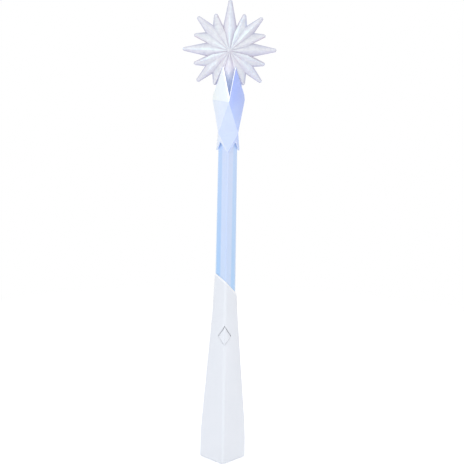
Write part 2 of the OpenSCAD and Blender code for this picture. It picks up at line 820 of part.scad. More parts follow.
function star_kind(k) = k % 4 == 0 ? 0 : k % 4 == 2 ? 2 : 1;

function star_tip_r(k) =
  k % 8 == 0 ? star_r : k % 8 == 4 ? level_tip_r : k % 4 == 2 ? diagonal_tip_r : short_tip_r;

// Angle and radius of the valley after point k
function valley_a(k) =
  let (m = k % 4, main = 90 + star_step * (m < 2 ? k - m : k - m + 4))
  m == 0 ? main + main_valley_a : m == 1 ? main + side_valley_a :
  m == 2 ? main - side_valley_a : main - main_valley_a;

function valley_r(k) = k % 4 == 0 || k % 4 == 3 ? main_valley_r : side_valley_r;

// A point of the star's front half: out along a direction, across it, and raised
function star_point(a, r, across, h) =
  [r * cos(a) - across * sin(a), -h, star_z + r * sin(a) + across * cos(a)];

// Points for one spike: ridge at the nub, crest left and right, tip top left and right,
// tip base left and right, valley at the nub, valley at the rim
function spike_points(k) = let (a = 90 + star_step * k, n = star_kind(k), r = star_tip_r(k)) [
  star_point(a, nub_r, 0, nub_ridge_h),
  star_point(a, crest_r, crest_half_ws[n], crest_hs[n]),
  star_point(a, crest_r, -crest_half_ws[n], crest_hs[n]),
  star_point(a, r - tip_chamfer, tip_top_half_w, tip_top_h),
  star_point(a, r - tip_chamfer, -tip_top_half_w, tip_top_h),
  star_point(a, r, tip_half_w, 0),
  star_point(a, r, -tip_half_w, 0),
  star_point(valley_a(k), nub_r, 0, nub_valley_h),
  star_point(valley_a(k), valley_r(k), 0, 0)];

function spike_faces(k) =
  let (s = spike_size * k, b = spike_size * ((k + star_count - 1) % star_count),
    centre = spike_size * star_count)
  [[s, s + 2, s + 1], [s + 1, s + 2, s + 4], [s + 1, s + 4, s + 3],
    [s + 7, s, s + 1], [s + 7, s + 1, s + 8], [s + 1, s + 3, s + 8], [s + 3, s + 5, s + 8],
    [s, b + 7, s + 2], [b + 7, b + 8, s + 2], [s + 2, b + 8, s + 4], [s + 4, b + 8, s + 6],
    [s + 3, s + 4, s + 6], [s + 3, s + 6, s + 5],
    [centre, b + 7, s], [centre, s, s + 7]];

function flip(face) = [for (i = [len(face) - 1:-1:0]) face[i]];

// One half of the starburst, flat on the parting plane
module star_half() {
  points = concat([for (k = [0:star_count - 1]) each spike_points(k)],
    [[0, -nub_h, star_z], [0, 0, star_z]]);
  rim = [for (k = [0:star_count - 1]) let (s = spike_size * k) each [s + 6, s + 5, s + 8]];
  faces = concat([for (k = [0:star_count - 1]) each spike_faces(k)],
    [for (i = [0:len(rim) - 1]) [rim[(i + 1) % len(rim)], rim[i], len(points) - 1]]);
  difference() {
    polyhedron(points = points, faces = [for (f = faces) flip(f)]);
    translate([0, 0, star_z]) rotate([90, 0, 0]) translate([0, 0, -overrun])
      cylinder(r1 = hollow_r * (1 + overrun / hollow_h), r2 = 0, h = hollow_h + overrun);
  }
}

module star_front() color("#e6e5ec", 0.8) {
  star_half();
  for (s = [-1, 1]) bar(star_peg_r, s * star_peg_at, star_z, -star_peg_l, star_peg_l);
}

module star_back() color("#e6e5ec", 0.8) difference() {
  mirror([0, 1, 0]) star_half();
  for (s = [-1, 1])
    bar(star_peg_r + pilot_gap, s * star_peg_at, star_z, -overrun, star_peg_l + fit_gap);
}

handle_front_shell();
handle_back_shell();
shell_screws();
battery_door();
door_screw();
left_battery();
right_battery();
lower_contact();
left_contact();
right_contact();
lower_spring();
upper_spring();
red_lead();
black_lead();
circuit_board();
chip_blob();
resistors();
capacitor();
switch_body();
switch_plunger();
button_cap();
light_lens();
light_legs();
shaft();
crown();
star_seat();
star_front();
star_back();
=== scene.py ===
"""Dresses the toy magic wand: soft-edged mouldings, clear pearly plastics, screws, cells and board."""
import math

import bmesh
import bpy
from mathutils import Matrix, Quaternion, Vector


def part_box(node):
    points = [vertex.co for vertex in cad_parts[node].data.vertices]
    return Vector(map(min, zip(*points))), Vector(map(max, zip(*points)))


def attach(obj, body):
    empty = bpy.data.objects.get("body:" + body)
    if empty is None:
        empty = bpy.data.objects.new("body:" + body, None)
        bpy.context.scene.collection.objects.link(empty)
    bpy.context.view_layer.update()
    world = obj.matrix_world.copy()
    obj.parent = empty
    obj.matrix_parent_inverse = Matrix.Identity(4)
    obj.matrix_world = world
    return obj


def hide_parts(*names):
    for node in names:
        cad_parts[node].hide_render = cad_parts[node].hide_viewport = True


bl_info = {
    "name": "Toy Magic Wand",
    "version": (1, 0, 0),
    "blender": (4, 5, 0),
    "location": "3D View > Sidebar > Wand",
    "description": "Builds the visual pieces of a toy magic wand on its CAD frame",
    "category": "Object",
}

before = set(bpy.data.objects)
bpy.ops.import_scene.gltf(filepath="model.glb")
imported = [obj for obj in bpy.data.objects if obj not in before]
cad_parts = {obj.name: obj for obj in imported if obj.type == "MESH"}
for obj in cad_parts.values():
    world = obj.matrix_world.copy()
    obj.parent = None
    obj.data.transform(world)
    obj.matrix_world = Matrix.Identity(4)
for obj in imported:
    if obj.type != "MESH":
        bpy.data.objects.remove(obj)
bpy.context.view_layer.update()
MM = 0.001
TURN = math.tau

# Points nearer than WELD are one, folds under SLIGHT are flat and folds over SHARP may be rounded.
WELD = 2e-6
SLIGHT = math.radians(0.4)
SHARP = math.radians(14)

# The handle's corner as rows of height and distance from the axis, in mm, the depth of its outer skin,
# and the plane of its slanted mouth, which cuts the axis 148.2 mm up.
HANDLE_CORNER = ((0, 18.4), (0.9, 19.3), (8.5, 19.3), (36, 18.2), (123, 11.0), (158, 9.2))
HANDLE_SKIN = 1.9 * MM
MOUTH_NORMAL = Vector((0.98, 0.37, 1)).normalized()
MOUTH_HEIGHT = MOUTH_NORMAL.z * 148.2 * MM

# The button's face lies in front of BUTTON_FACE, and the crown's V cuts above V_CUT_LOW, with a chamfer
# along their edges. GIRDLE is the height where the crown is widest.
BUTTON_FACE = -6.5 * MM
V_CUT_LOW = 297 * MM
V_CUT_CHAMFER = 1.5 * MM
GIRDLE = 297.2 * MM

# Axis of the wand to the axis of a cell.
CELL_OUT = 5.4 * MM

# Strength of the painted glow that stands for the light that the clear plastics gather, and the IOR
# of polystyrene and of the thin film that tints its gloss.
PAINTED_GLOW = 0.07
STYRENE = {"IOR": 1.57, "Thin Film IOR": 1.33}

# Rings of the starburst from the nub to the rim: the spread of a point's flanks against its tip, how far
# out ridges and valleys run as a share of their reach, how high as a share of the nub, and how much of
# that height a flank loses.
STAR_RINGS = {
    "swell": [1.0, 1.0, 2.6, 0.35, 0.9],
    "out ridge": [0.0, 0.063, 0.482, 0.955, 1.0],
    "out valley": [0.0, 0.126, 0.42, 0.88, 1.0],
    "up ridge": [1.0, 0.875, 0.486, 0.15, 0.0],
    "up valley": [1.0, 0.79, 0.54, 0.19, 0.0],
    "roof": [0.0, 0.0, -0.16, -0.35, 0.0],
}


def linear(code):
    """sRGB hex to a linear RGBA colour."""
    parts = [int(code[i:i + 2], 16) / 255 for i in (1, 3, 5)]
    return tuple(c / 12.92 if c <= 0.04045 else ((c + 0.055) / 1.055) ** 2.4 for c in parts) + (1.0,)


def add(tree, kind, settings=None, links=None):
    """Adds one node. Settings are its properties, the stops of its colour band or the items that it
    switches between; one word alone is its operation. Links go by the inputs' names, or as a list in
    their order. Each is a socket, a node for its first open output, a list of these, a hex colour or
    another constant."""
    made = tree.nodes.new(kind)
    settings = {"operation": settings} if isinstance(settings, str) else settings or {}
    links = dict(enumerate(links)) if isinstance(links, list) else dict(links or {})
    for name, value in settings.items():
        if name == "stops":
            band = made.color_ramp
            while len(band.elements) < len(value):
                band.elements.new(1.0)
            for element, (place, colour) in zip(band.elements, value):
                element.position = place
                element.color = linear(colour)
        elif name == "items":
            while len(made.index_switch_items) < len(value):
                made.index_switch_items.new()
            links.update((str(i), item) for i, item in enumerate(value))
        else:
            setattr(made, name, value)
    for name, value in links.items():
        socket = made.inputs[name]
        for item in value if isinstance(value, list) else [value]:
            if isinstance(item, bpy.types.Node):
                item = next(s for s in item.outputs if not s.is_unavailable)
            if isinstance(item, bpy.types.NodeSocket):
                tree.links.new(item, socket)
            elif isinstance(item, str) and item.startswith("#"):
                socket.default_value = linear(item)
            else:
                socket.default_value = item
    return made


# Materials


def material(name, recipe, *colours, **values):
    """A new material. Its recipe gets an empty tree and an Object coordinate in metres, and gives back
    the shader."""
    made = bpy.data.materials.new(name)
    made.use_nodes = True
    tree = made.node_tree
    tree.nodes.clear()
    place = add(tree, "ShaderNodeTexCoord").outputs["Object"]
    add(tree, "ShaderNodeOutputMaterial", links={"Surface": recipe(tree, place, *colours, **values)})
    return made


def clouded(tree, place, size, colour, shade, detail=2.0):
    """Two colours that drift into each other over a size in metres."""
    cloud = add(tree, "ShaderNodeTexNoise", links={"Vector": place, "Scale": 1 / size, "Detail": detail})
    return add(tree, "ShaderNodeMix", {"data_type": "RGBA"}, {"Factor": cloud, "A": colour, "B": shade})


def drifting(tree, place, size, low, high, detail=1.0):
    """A value that drifts between low and high over a size in metres."""
    cloud = add(tree, "ShaderNodeTexNoise", links={"Vector": place, "Scale": 1 / size, "Detail": detail})
    return add(tree, "ShaderNodeMapRange", links={"Value": cloud, "To Min": low, "To Max": high})


def in_sight(tree):
    """One for a ray that the eye sees straight, mirrored or through clear plastic, nought for others."""
    rays = add(tree, "ShaderNodeLightPath").outputs
    seen = add(tree, "ShaderNodeMath", "MAXIMUM", [rays["Is Camera Ray"], rays["Is Glossy Ray"]])
    return add(tree, "ShaderNodeMath", "MAXIMUM", [seen, rays["Is Transmission Ray"]])


def moulded_abs(tree, place, colour, shade, rough, coat):
    """White ABS from a polished tool: a soft satin sheen, a faint cloudiness of the melt about 14 mm
    across and a tool grain of 0.5 mm, drawn coarser than life so that it shows. A lip about 1.4 mm deep
    round the slanted mouth is painted whiter, a painted highlight where the rim catches the light."""
    melt, grit, unevenness = 14 * MM, 0.5 * MM, 0.03
    lip_low, lip_high = MOUTH_HEIGHT - 1.6 * MM, MOUTH_HEIGHT - 1.2 * MM
    tint = clouded(tree, place, melt, colour, shade)
    # Painted highlight: a band just under the mouth's plane is mixed towards white.
    above = add(tree, "ShaderNodeVectorMath", "DOT_PRODUCT", [place, MOUTH_NORMAL])
    lip = add(tree, "ShaderNodeMapRange", links={
        "Value": above, "From Min": lip_low, "From Max": lip_high})
    skin = add(tree, "ShaderNodeMix", {"data_type": "RGBA"}, {"Factor": lip, "A": tint, "B": "#FFFFFF"})
    grain = add(tree, "ShaderNodeTexNoise", links={"Vector": place, "Scale": 1 / grit, "Detail": 1.0})
    worn = add(tree, "ShaderNodeMapRange", links={
        "Value": grain, "To Min": rough - unevenness, "To Max": rough + unevenness})
    bump = add(tree, "ShaderNodeBump", links={"Height": grain, "Strength": 0.03, "Distance": 0.02 * MM})
    return add(tree, "ShaderNodeBsdfPrincipled", links={
        "Base Color": skin, "Roughness": worn, "Normal": bump, "IOR": 1.52, "Coat Weight": coat,
        "Coat Roughness": 0.15})


def pearly_crown(tree, place, pale, middle, deep, clear):
    """Clear polystyrene with painted light and shade on its facets: facets turned to the left are painted
    milky, as if lit, and those turned to the right a deeper, shaded blue; the cut edges get a painted
    highlight, and a thin film tints the gloss. The colour drifts a little over 12 mm, and a painted glow
    stands for the light that the plastic gathers, more of it on the inside and most on the cut edges."""
    edge_glow, inner_glow, edge_highlight = 5 * PAINTED_GLOW, 0.6 * PAINTED_GLOW, 0.85
    wash, edge, inner = [add(tree, "ShaderNodeAttribute", {"attribute_name": mark}).outputs["Fac"]
                         for mark in ("wash", "edge", "inner")]
    # Painted glow, more of it on the inside and most on the cut edges.
    gleam = add(tree, "ShaderNodeMath", "MULTIPLY_ADD", [edge, edge_glow, PAINTED_GLOW])
    glow = add(tree, "ShaderNodeMath", "MULTIPLY_ADD", [inner, inner_glow, gleam])
    drift = drifting(tree, place, size=12 * MM, low=-0.1, high=0.1)
    # The drift is the plastic's own; the facet mark adds painted light and shade by the way a facet turns.
    sway = add(tree, "ShaderNodeMath", "ADD", [drift, wash])
    body = add(tree, "ShaderNodeValToRGB", {"stops": [
        (0.0, pale), (0.25, "#E6F2FF"), (0.5, middle), (0.75, "#C4D9FF"), (1.0, deep)]}, {"Fac": sway})
    # Painted highlight: the cut edges are mixed towards white.
    lit = add(tree, "ShaderNodeMath", "MULTIPLY", [edge, edge_highlight])
    tint = add(tree, "ShaderNodeMix", {"data_type": "RGBA"}, {"Factor": lit, "A": body, "B": "#FBFEFF"})
    return add(tree, "ShaderNodeBsdfPrincipled", links={
        "Base Color": tint, "Roughness": 0.2, "Emission Color": tint, "Emission Strength": glow,
        "Transmission Weight": clear, "Thin Film Thickness": 320.0, "Coat Weight": 0.3,
        "Coat Roughness": 0.08, **STYRENE})


def clear_shaft(tree, place, core, left, right, clear):
    """Clear ice-blue polystyrene tube: milky over the bore, with painted shade at the left and right
    corners, a deeper blue for light that passes through the deepest wall as seen from the front, and a
    little more lilac towards the crown, with the same painted glow as the crown. Its gloss drifts over 9 mm."""
    half_width, mouth, crown, lilac_share = 8 * MM, 150 * MM, 260 * MM, 0.35
    parts = add(tree, "ShaderNodeSeparateXYZ", links={"Vector": place}).outputs
    across = add(tree, "ShaderNodeMapRange", links={
        "Value": parts["X"], "From Min": -half_width, "From Max": half_width})
    # Painted shade: bluer bands at the left and right corners, set by X alone.
    wall = add(tree, "ShaderNodeValToRGB", {"stops": [
        (0.0, "#CBE2FB"), (0.07, left), (0.2, left), (0.26, core), (0.74, core), (0.8, right),
        (0.93, right), (1.0, "#DCE7FA")]}, {"Fac": across})
    up = add(tree, "ShaderNodeMapRange", links={
        "Value": parts["Z"], "From Min": mouth, "From Max": crown, "To Max": lilac_share})
    tint = add(tree, "ShaderNodeMix", {"data_type": "RGBA"}, {"Factor": up, "A": wall, "B": "#E2E9FF"})
    rough = drifting(tree, place, size=9 * MM, low=0.12, high=0.24)
    return add(tree, "ShaderNodeBsdfPrincipled", links={
        "Base Color": tint, "Roughness": rough, "Emission Color": tint, "Emission Strength": PAINTED_GLOW,
        "Transmission Weight": clear, "Thin Film Thickness": 300.0, "Coat Weight": 0.3,
        "Coat Roughness": 0.08, **STYRENE})


def pearl_star(tree, place, crest, valley, blush, clear):
    """Clear polystyrene with a pearl pigment: nearly white on the ridges and lilac in the valleys, partly
    the pigment's own tint and partly a painted highlight on the ridges and painted shade in the valleys;
    a darker lilac along the rim is painted shade, which fades towards the tips. A patchy pink blush about
    9 mm across and a mottle of 3 mm where the pigment swirls are the pigment's own; facets turned up or to
    the left are painted paler than those turned away, as if lit from there. The point that stands in the
    crown has a painted glow for the light gathered there, and painted shade of the crown, a greyer blue,
    towards its end."""
    patch_size, swirl_size, swing, facet_light_share = 9 * MM, 3 * MM, 0.35, 0.55
    # Painted glow over the whole star, more on the point in the crown.
    own_glow, crown_glow = 0.6 * PAINTED_GLOW, 1.3 * PAINTED_GLOW
    ridge, rim, wash = [add(tree, "ShaderNodeAttribute", {"attribute_name": mark}).outputs["Fac"]
                        for mark in ("ridge", "rim", "wash")]
    # Painted highlight on the ridges and painted shade in the valleys, over the pigment's own lilac.
    body = add(tree, "ShaderNodeValToRGB", {"stops": [
        (0.0, valley), (0.3, "#E3E2EC"), (0.75, crest), (1.0, "#FBFAFD")]}, {"Fac": ridge})
    patch = add(tree, "ShaderNodeTexNoise", links={
        "Vector": place, "Scale": 1 / patch_size, "Detail": 1.0})
    warm = add(tree, "ShaderNodeMapRange", links={
        "Value": patch, "From Min": 0.5, "From Max": 0.75, "To Max": 0.5})
    flush = add(tree, "ShaderNodeMix", {"data_type": "RGBA"}, {"Factor": warm, "A": body, "B": blush})
    swirl = add(tree, "ShaderNodeTexNoise", links={
        "Vector": place, "Scale": 1 / swirl_size, "Detail": 2.0, "Distortion": 0.8})
    mottle = add(tree, "ShaderNodeMapRange", links={
        "Value": swirl, "From Min": 0.3, "From Max": 0.7, "To Min": -swing, "To Max": swing})
    # Painted light: the facet mark, paler for facets turned up or to the left, plus the pigment's mottle.
    uneven = add(tree, "ShaderNodeMath", "ADD", [mottle, wash])
    mottled_facet_light = add(tree, "ShaderNodeValToRGB", {"stops": [
        (0.0, "#D6D0DA"), (0.5, "#E9E4E8"), (1.0, "#FBF8F9")]}, {"Fac": uneven})
    turned = add(tree, "ShaderNodeMix", {"data_type": "RGBA"}, {
        "Factor": facet_light_share, "A": flush, "B": mottled_facet_light})
    # Painted shade along the rim, weaker on the ridges.
    faded = add(tree, "ShaderNodeMapRange", links={"Value": ridge, "To Min": 0.8, "To Max": 0.4})
    painted_rim_shade = add(tree, "ShaderNodeMath", "MULTIPLY", [rim, faded])
    tint = add(tree, "ShaderNodeMix", {"data_type": "RGBA"}, {
        "Factor": painted_rim_shade, "A": turned, "B": "#B9B8CC"})
    # The lowest point lies within 5 to 3 mm of the middle; it has a painted glow from 330 to 322 mm up and
    # painted shade of the crown, a greyer blue, from 319 to 310 mm.
    parts = add(tree, "ShaderNodeSeparateXYZ", links={"Vector": place}).outputs
    aside = add(tree, "ShaderNodeMath", "ABSOLUTE", [parts["X"]])
    middle, low, crown_shade_low = [add(tree, "ShaderNodeMapRange", links={
        "Value": value, "From Min": start * MM, "From Max": stop * MM, "To Max": most})
        for value, start, stop, most in (
            (aside, 5, 3, 1.0), (parts["Z"], 330, 322, 1.0), (parts["Z"], 319, 310, 0.8))]
    in_crown = add(tree, "ShaderNodeMath", "MULTIPLY", [low, middle])
    glow = add(tree, "ShaderNodeMath", "MULTIPLY_ADD", [in_crown, crown_glow, own_glow])
    deep = add(tree, "ShaderNodeMath", "MULTIPLY", [crown_shade_low, middle])
    painted_crown_shade = add(tree, "ShaderNodeMix", {"data_type": "RGBA"}, {"Factor": deep, "A": tint, "B": "#CBD6E6"})
    return add(tree, "ShaderNodeBsdfPrincipled", links={
        "Base Color": painted_crown_shade, "Roughness": 0.16, "Emission Color": painted_crown_shade, "Emission Strength": glow,
        "Transmission Weight": clear, "Thin Film Thickness": 380.0, "Coat Weight": 0.5,
        "Coat Roughness": 0.06, **STYRENE})


def cast_epoxy(tree, place):
    """Water-clear cast epoxy of a small lamp: glassy, faintly blue, with soft clouds 1 mm across."""
    tint = clouded(tree, place, 1 * MM, "#F2F6FC", "#E4ECF8", detail=1.0)
    return add(tree, "ShaderNodeBsdfPrincipled", links={
        "Base Color": tint, "Roughness": 0.06, "IOR": 1.54, "Transmission Weight": 0.85})


def plated_steel(tree, place, colour, rough):
    """Bright plated steel: a mirror-like skin, scuffed by tumbling in specks 0.2 mm across."""
    scuff, unevenness = 0.2 * MM, 0.08
    worn = drifting(tree, place, scuff, rough - unevenness, rough + unevenness, detail=2.0)
    return add(tree, "ShaderNodeBsdfPrincipled", links={
        "Base Color": colour, "Metallic": 1.0, "Roughness": worn})


def cell_film(tree, place, low, high, band):
    """Film-sleeved dry cell: a green glossy film with a plain pale band near one end, and bare steel
    past both ends; low and high are the heights where the film stops, and band is a share of them."""
    height = add(tree, "ShaderNodeSeparateXYZ", links={"Vector": place}).outputs["Z"]
    along = add(tree, "ShaderNodeMapRange", links={"Value": height, "From Min": low, "From Max": high})
    film = add(tree, "ShaderNodeValToRGB", {"stops": [
        (0.0, "#3F6E59"), (band[0], "#D5D8D2"), (band[1], "#3F6E59")]}, {"Fac": along})
    film.color_ramp.interpolation = "CONSTANT"
    above = add(tree, "ShaderNodeMath", "GREATER_THAN", [height, high])
    below = add(tree, "ShaderNodeMath", "LESS_THAN", [height, low])
    bare = add(tree, "ShaderNodeMath", "MAXIMUM", [above, below])
    tint = add(tree, "ShaderNodeMix", {"data_type": "RGBA"}, {"Factor": bare, "A": film, "B": "#C8C8C4"})
    return add(tree, "ShaderNodeBsdfPrincipled", links={
        "Base Color": tint, "Metallic": bare, "Roughness": 0.28})


def dipped_resin(tree, place, colour, shade, rough, size):
    """Small moulded or dipped part: one colour with a faint mottle, whose size is in metres."""
    tint = clouded(tree, place, size, colour, shade)
    return add(tree, "ShaderNodeBsdfPrincipled", links={
        "Base Color": tint, "Roughness": rough, "IOR": 1.5})


def solder_mask(tree, place):
    """Glass-epoxy board under green solder mask: lighter green where copper tracks 1.2 mm apart run
    up the board, seen as bands that waver a little."""
    spacing, scale_per_turn = 1.2 * MM, 20
    tracks = add(tree, "ShaderNodeTexWave", {"bands_direction": "X"}, {
        "Vector": place, "Scale": TURN / (scale_per_turn * spacing), "Distortion": 1.5, "Detail": 1.0,
        "Detail Scale": 0.4})
    tint = add(tree, "ShaderNodeValToRGB", {"stops": [(0.45, "#2B6B41"), (0.55, "#3C8452")]},
               {"Fac": tracks.outputs["Fac"]})
    return add(tree, "ShaderNodeBsdfPrincipled", links={
        "Base Color": tint, "Roughness": 0.3, "IOR": 1.5})


def paper_sweep(tree, place):
    """White paper sweep: matt, with a mottle of fibres drawn coarse at 3 mm. It keeps the shadow near
    the wand and runs out to plain white."""
    fibre, shadow_end, white_start = 3 * MM, 0.12, 0.5
    tint = clouded(tree, place, fibre, "#FBFBFC", "#F8F9FB", detail=1.0)
    matt = add(tree, "ShaderNodeBsdfDiffuse", links={"Color": tint})
    glow, white = [add(tree, "ShaderNodeEmission", links={"Color": "#FFFFFF", "Strength": strength})
                   for strength in (0.4, 1.0)]
    lit = add(tree, "ShaderNodeAddShader", links=[matt, glow])
    reach = add(tree, "ShaderNodeVectorMath", "LENGTH", [place])
    fade = add(tree, "ShaderNodeMapRange", links={
        "Value": reach, "From Min": shadow_end, "From Max": white_start})
    sweep = add(tree, "ShaderNodeMixShader", links=[fade, lit, white])
    return add(tree, "ShaderNodeMixShader", links=[in_sight(tree), matt, sweep])


# Mesh helpers


def put_in(name, data):
    """A new object in the scene."""
    made = bpy.data.objects.new(name, data)
    bpy.context.scene.collection.objects.link(made)
    return made


def dress(piece, finish, slot, body, *nodes):
    """Gives a finished piece its material and body and hides the CAD nodes that it stands for; the slot is
    not used.
    """
    piece.data.materials.clear()
    piece.data.materials.append(finish)
    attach(piece, body)
    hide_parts(*nodes)


def shade_smooth(mesh, angle=None):
    """Shades a mesh smooth; an angle in degrees says which folds stay sharp."""
    for face in mesh.polygons:
        face.use_smooth = True
    if angle:
        mesh.set_sharp_from_angle(angle=math.radians(angle))


def soften(mesh, width, steps, smooth, wanted=None):
    """Rounds a mesh's sharp edges, or the wanted ones, by width in metres and marks the new faces as
    edge; smooth is the angle in degrees under which folds are shaded smooth."""
    work = bmesh.new()
    work.from_mesh(mesh)
    bmesh.ops.remove_doubles(work, verts=work.verts, dist=WELD)
    bmesh.ops.dissolve_limit(work, angle_limit=SLIGHT, verts=work.verts, edges=work.edges)
    edge = work.faces.layers.float.get("edge") or work.faces.layers.float.new("edge")
    edges = [e for e in work.edges
             if len(e.link_faces) == 2 and abs(e.calc_face_angle_signed(0)) > SHARP
             and (not wanted or wanted(e))]
    if edges:
        cut = bmesh.ops.bevel(work, geom=edges, offset=width, offset_type="OFFSET", segments=steps,
                              profile=0.5, affect="EDGES", clamp_overlap=True)
        for face in cut["faces"]:
            face[edge] = 1.0
    bmesh.ops.triangulate(work, faces=[f for f in work.faces if len(f.verts) > 4])
    work.normal_update()
    work.to_mesh(mesh)
    work.free()
    shade_smooth(mesh, smooth)


def soft_copy(node, name, width, steps, smooth, wanted):
    """A merged copy of a CAD node with its wanted edges rounded, as a new piece."""
    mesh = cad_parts[node].data.copy()
    mesh.name = name
    soften(mesh, width, steps, smooth, wanted)
    return put_in(name, mesh)


def on_outside(edge):
    """True for an edge on the handle's outer skin."""
    heights, corners = zip(*HANDLE_CORNER)
    for vertex in edge.verts:
        x, y, z = vertex.co
        row = next((i for i in range(1, len(heights)) if z / MM <= heights[i]), None)
        corner = corners[-1]
        if row:
            share = (z / MM - heights[row - 1]) / (heights[row] - heights[row - 1])
            corner = corners[row - 1] + (corners[row] - corners[row - 1]) * share
        if abs(x) + abs(y) <= corner * MM - HANDLE_SKIN:
            return False
    return True


def on_button_face(edge):
    """True for an edge of the button's face."""
    return all(v.co.y < BUTTON_FACE for v in edge.verts)


def on_v_cut(edge):
    """True for an edge of the crown where a petal's outer face meets the wall of a V cut. A wall faces
    nearly along X or Y, an outer face between the two."""
    along, between = 0.9, 0.6
    walls = [f for f in edge.link_faces if max(abs(f.normal.x), abs(f.normal.y)) > along]
    outer = [f for f in edge.link_faces
             if min(abs(f.normal.x), abs(f.normal.y)) > between and f.normal.dot(f.calc_center_median()) > 0]
    return len(walls) == 1 and len(outer) == 1 and all(v.co.z > V_CUT_LOW for v in edge.verts)


def wash_facets(mesh):
    """Marks each facet's turn to the side as painted light and shade, more strongly above the girdle,
    where the milky, lit side changes at once and the deep, shaded side by degrees, and marks the inside
    as inner, which the crown's material gives more of its painted glow. From the girdle up, the mark
    edge, which the crown's material paints as a highlight, stays on rounded edges that face front or
    back, and the walls of the front and back V cuts get it too. It is taken off all others."""
    level, below, more, blend, sideways, girdle_half = 0.5, 0.36, 0.34, 11 * MM, 0.9, 1 * MM
    wash = mesh.attributes.new("wash", "FLOAT", "CORNER")
    inner = mesh.attributes.new("inner", "FLOAT", "FACE")
    edge = mesh.attributes["edge"]
    for face in mesh.polygons:
        nx, ny = face.normal.x, face.normal.y
        high = face.center.z > GIRDLE
        inside = nx * face.center.x + ny * face.center.y < 0
        inner.data[face.index].value = float(inside)
        for corner in face.loop_indices:
            over = (mesh.vertices[mesh.loops[corner].vertex_index].co.z - GIRDLE) / blend
            rise = min(max(0.5 + over / 2, 0), 1) if nx > 0 else float(high)
            wash.data[corner].value = level if inside else level + nx * (below + more * rise)
        # Painted highlight: the edge mark is painted near white by the crown's material.
        if high and abs(nx) > sideways:
            edge.data[face.index].value = 1.0
        elif face.center.z < GIRDLE - girdle_half or abs(nx) > abs(ny):
            edge.data[face.index].value = 0.0


def key_ribs(mesh):
    """Adds the four ribs on the spigot's cut corners that key the shaft into the crown's hem; each
    follows the lean of the crown's wall. Each row is a height, with the reach and half width of the
    rib's crest there, in mm."""
    root_out, root_half = 6.15, 1.3
    rows = ((257.3, 7.2, 0.4), (263.6, 6.85, 0.7))
    work = bmesh.new()
    work.from_mesh(mesh)
    for corner in range(4):
        turn = Matrix.Rotation(corner * TURN / 4, 3, "Z")
        foot, top = [[work.verts.new(turn @ Vector(p) * MM) for p in (
            (root_out, -root_half, z), (out, -half, z), (out, half, z), (root_out, root_half, z))]
            for z, out, half in rows]
        faces = [work.faces.new((foot[i], foot[(i + 1) % 4], top[(i + 1) % 4], top[i])) for i in range(4)]
        faces += [work.faces.new(foot[::-1]), work.faces.new(top)]
        bmesh.ops.recalc_face_normals(work, faces=faces)
    work.to_mesh(mesh)
    work.free()


# Geometry Nodes trees


def new_tree(name, sizes):
    """An empty tree, and its named inputs: the sizes of each kind and the material."""
    tree = bpy.data.node_groups.new(name, "GeometryNodeTree")
    tree.interface.new_socket("Geometry", in_out="OUTPUT", socket_type="NodeSocketGeometry")
    for kind, labels in {**sizes, "Material": ("Material",)}.items():
        for label in labels:
            tree.interface.new_socket(label, in_out="INPUT", socket_type="NodeSocket" + kind)
    return tree, add(tree, "NodeGroupInput").outputs


def close_tree(tree, given, geometry):
    """Ends a tree in Realize Instances and Set Material."""
    real = add(tree, "GeometryNodeRealizeInstances", links={"Geometry": geometry})
    skin = add(tree, "GeometryNodeSetMaterial", links={"Geometry": real, "Material": given["Material"]})
    add(tree, "NodeGroupOutput", links={"Geometry": skin})
    return tree


def drawn(tree, path, sides, radius):
    """A wire of so many sides drawn along a path, with closed ends."""
    ring = add(tree, "GeometryNodeCurvePrimitiveCircle", links={"Resolution": sides, "Radius": radius})
    return add(tree, "GeometryNodeCurveToMesh", links={
        "Curve": path, "Profile Curve": ring, "Fill Caps": True})


def grow(name, tree, values):
    """Runs a tree with its inputs' values and returns the result as a plain mesh piece."""
    holder = put_in(name + "_rule", bpy.data.meshes.new(name + "_rule"))
    step = holder.modifiers.new("rule", "NODES")
    step.node_group = tree
    for socket in tree.interface.items_tree:
        if socket.in_out == "INPUT" and socket.name in values:
            step[socket.identifier] = values[socket.name]
    graph = bpy.context.evaluated_depsgraph_get()
    mesh = bpy.data.meshes.new_from_object(holder.evaluated_get(graph), depsgraph=graph)
    bpy.data.objects.remove(holder)
    mesh.name = name
    return put_in(name, mesh)


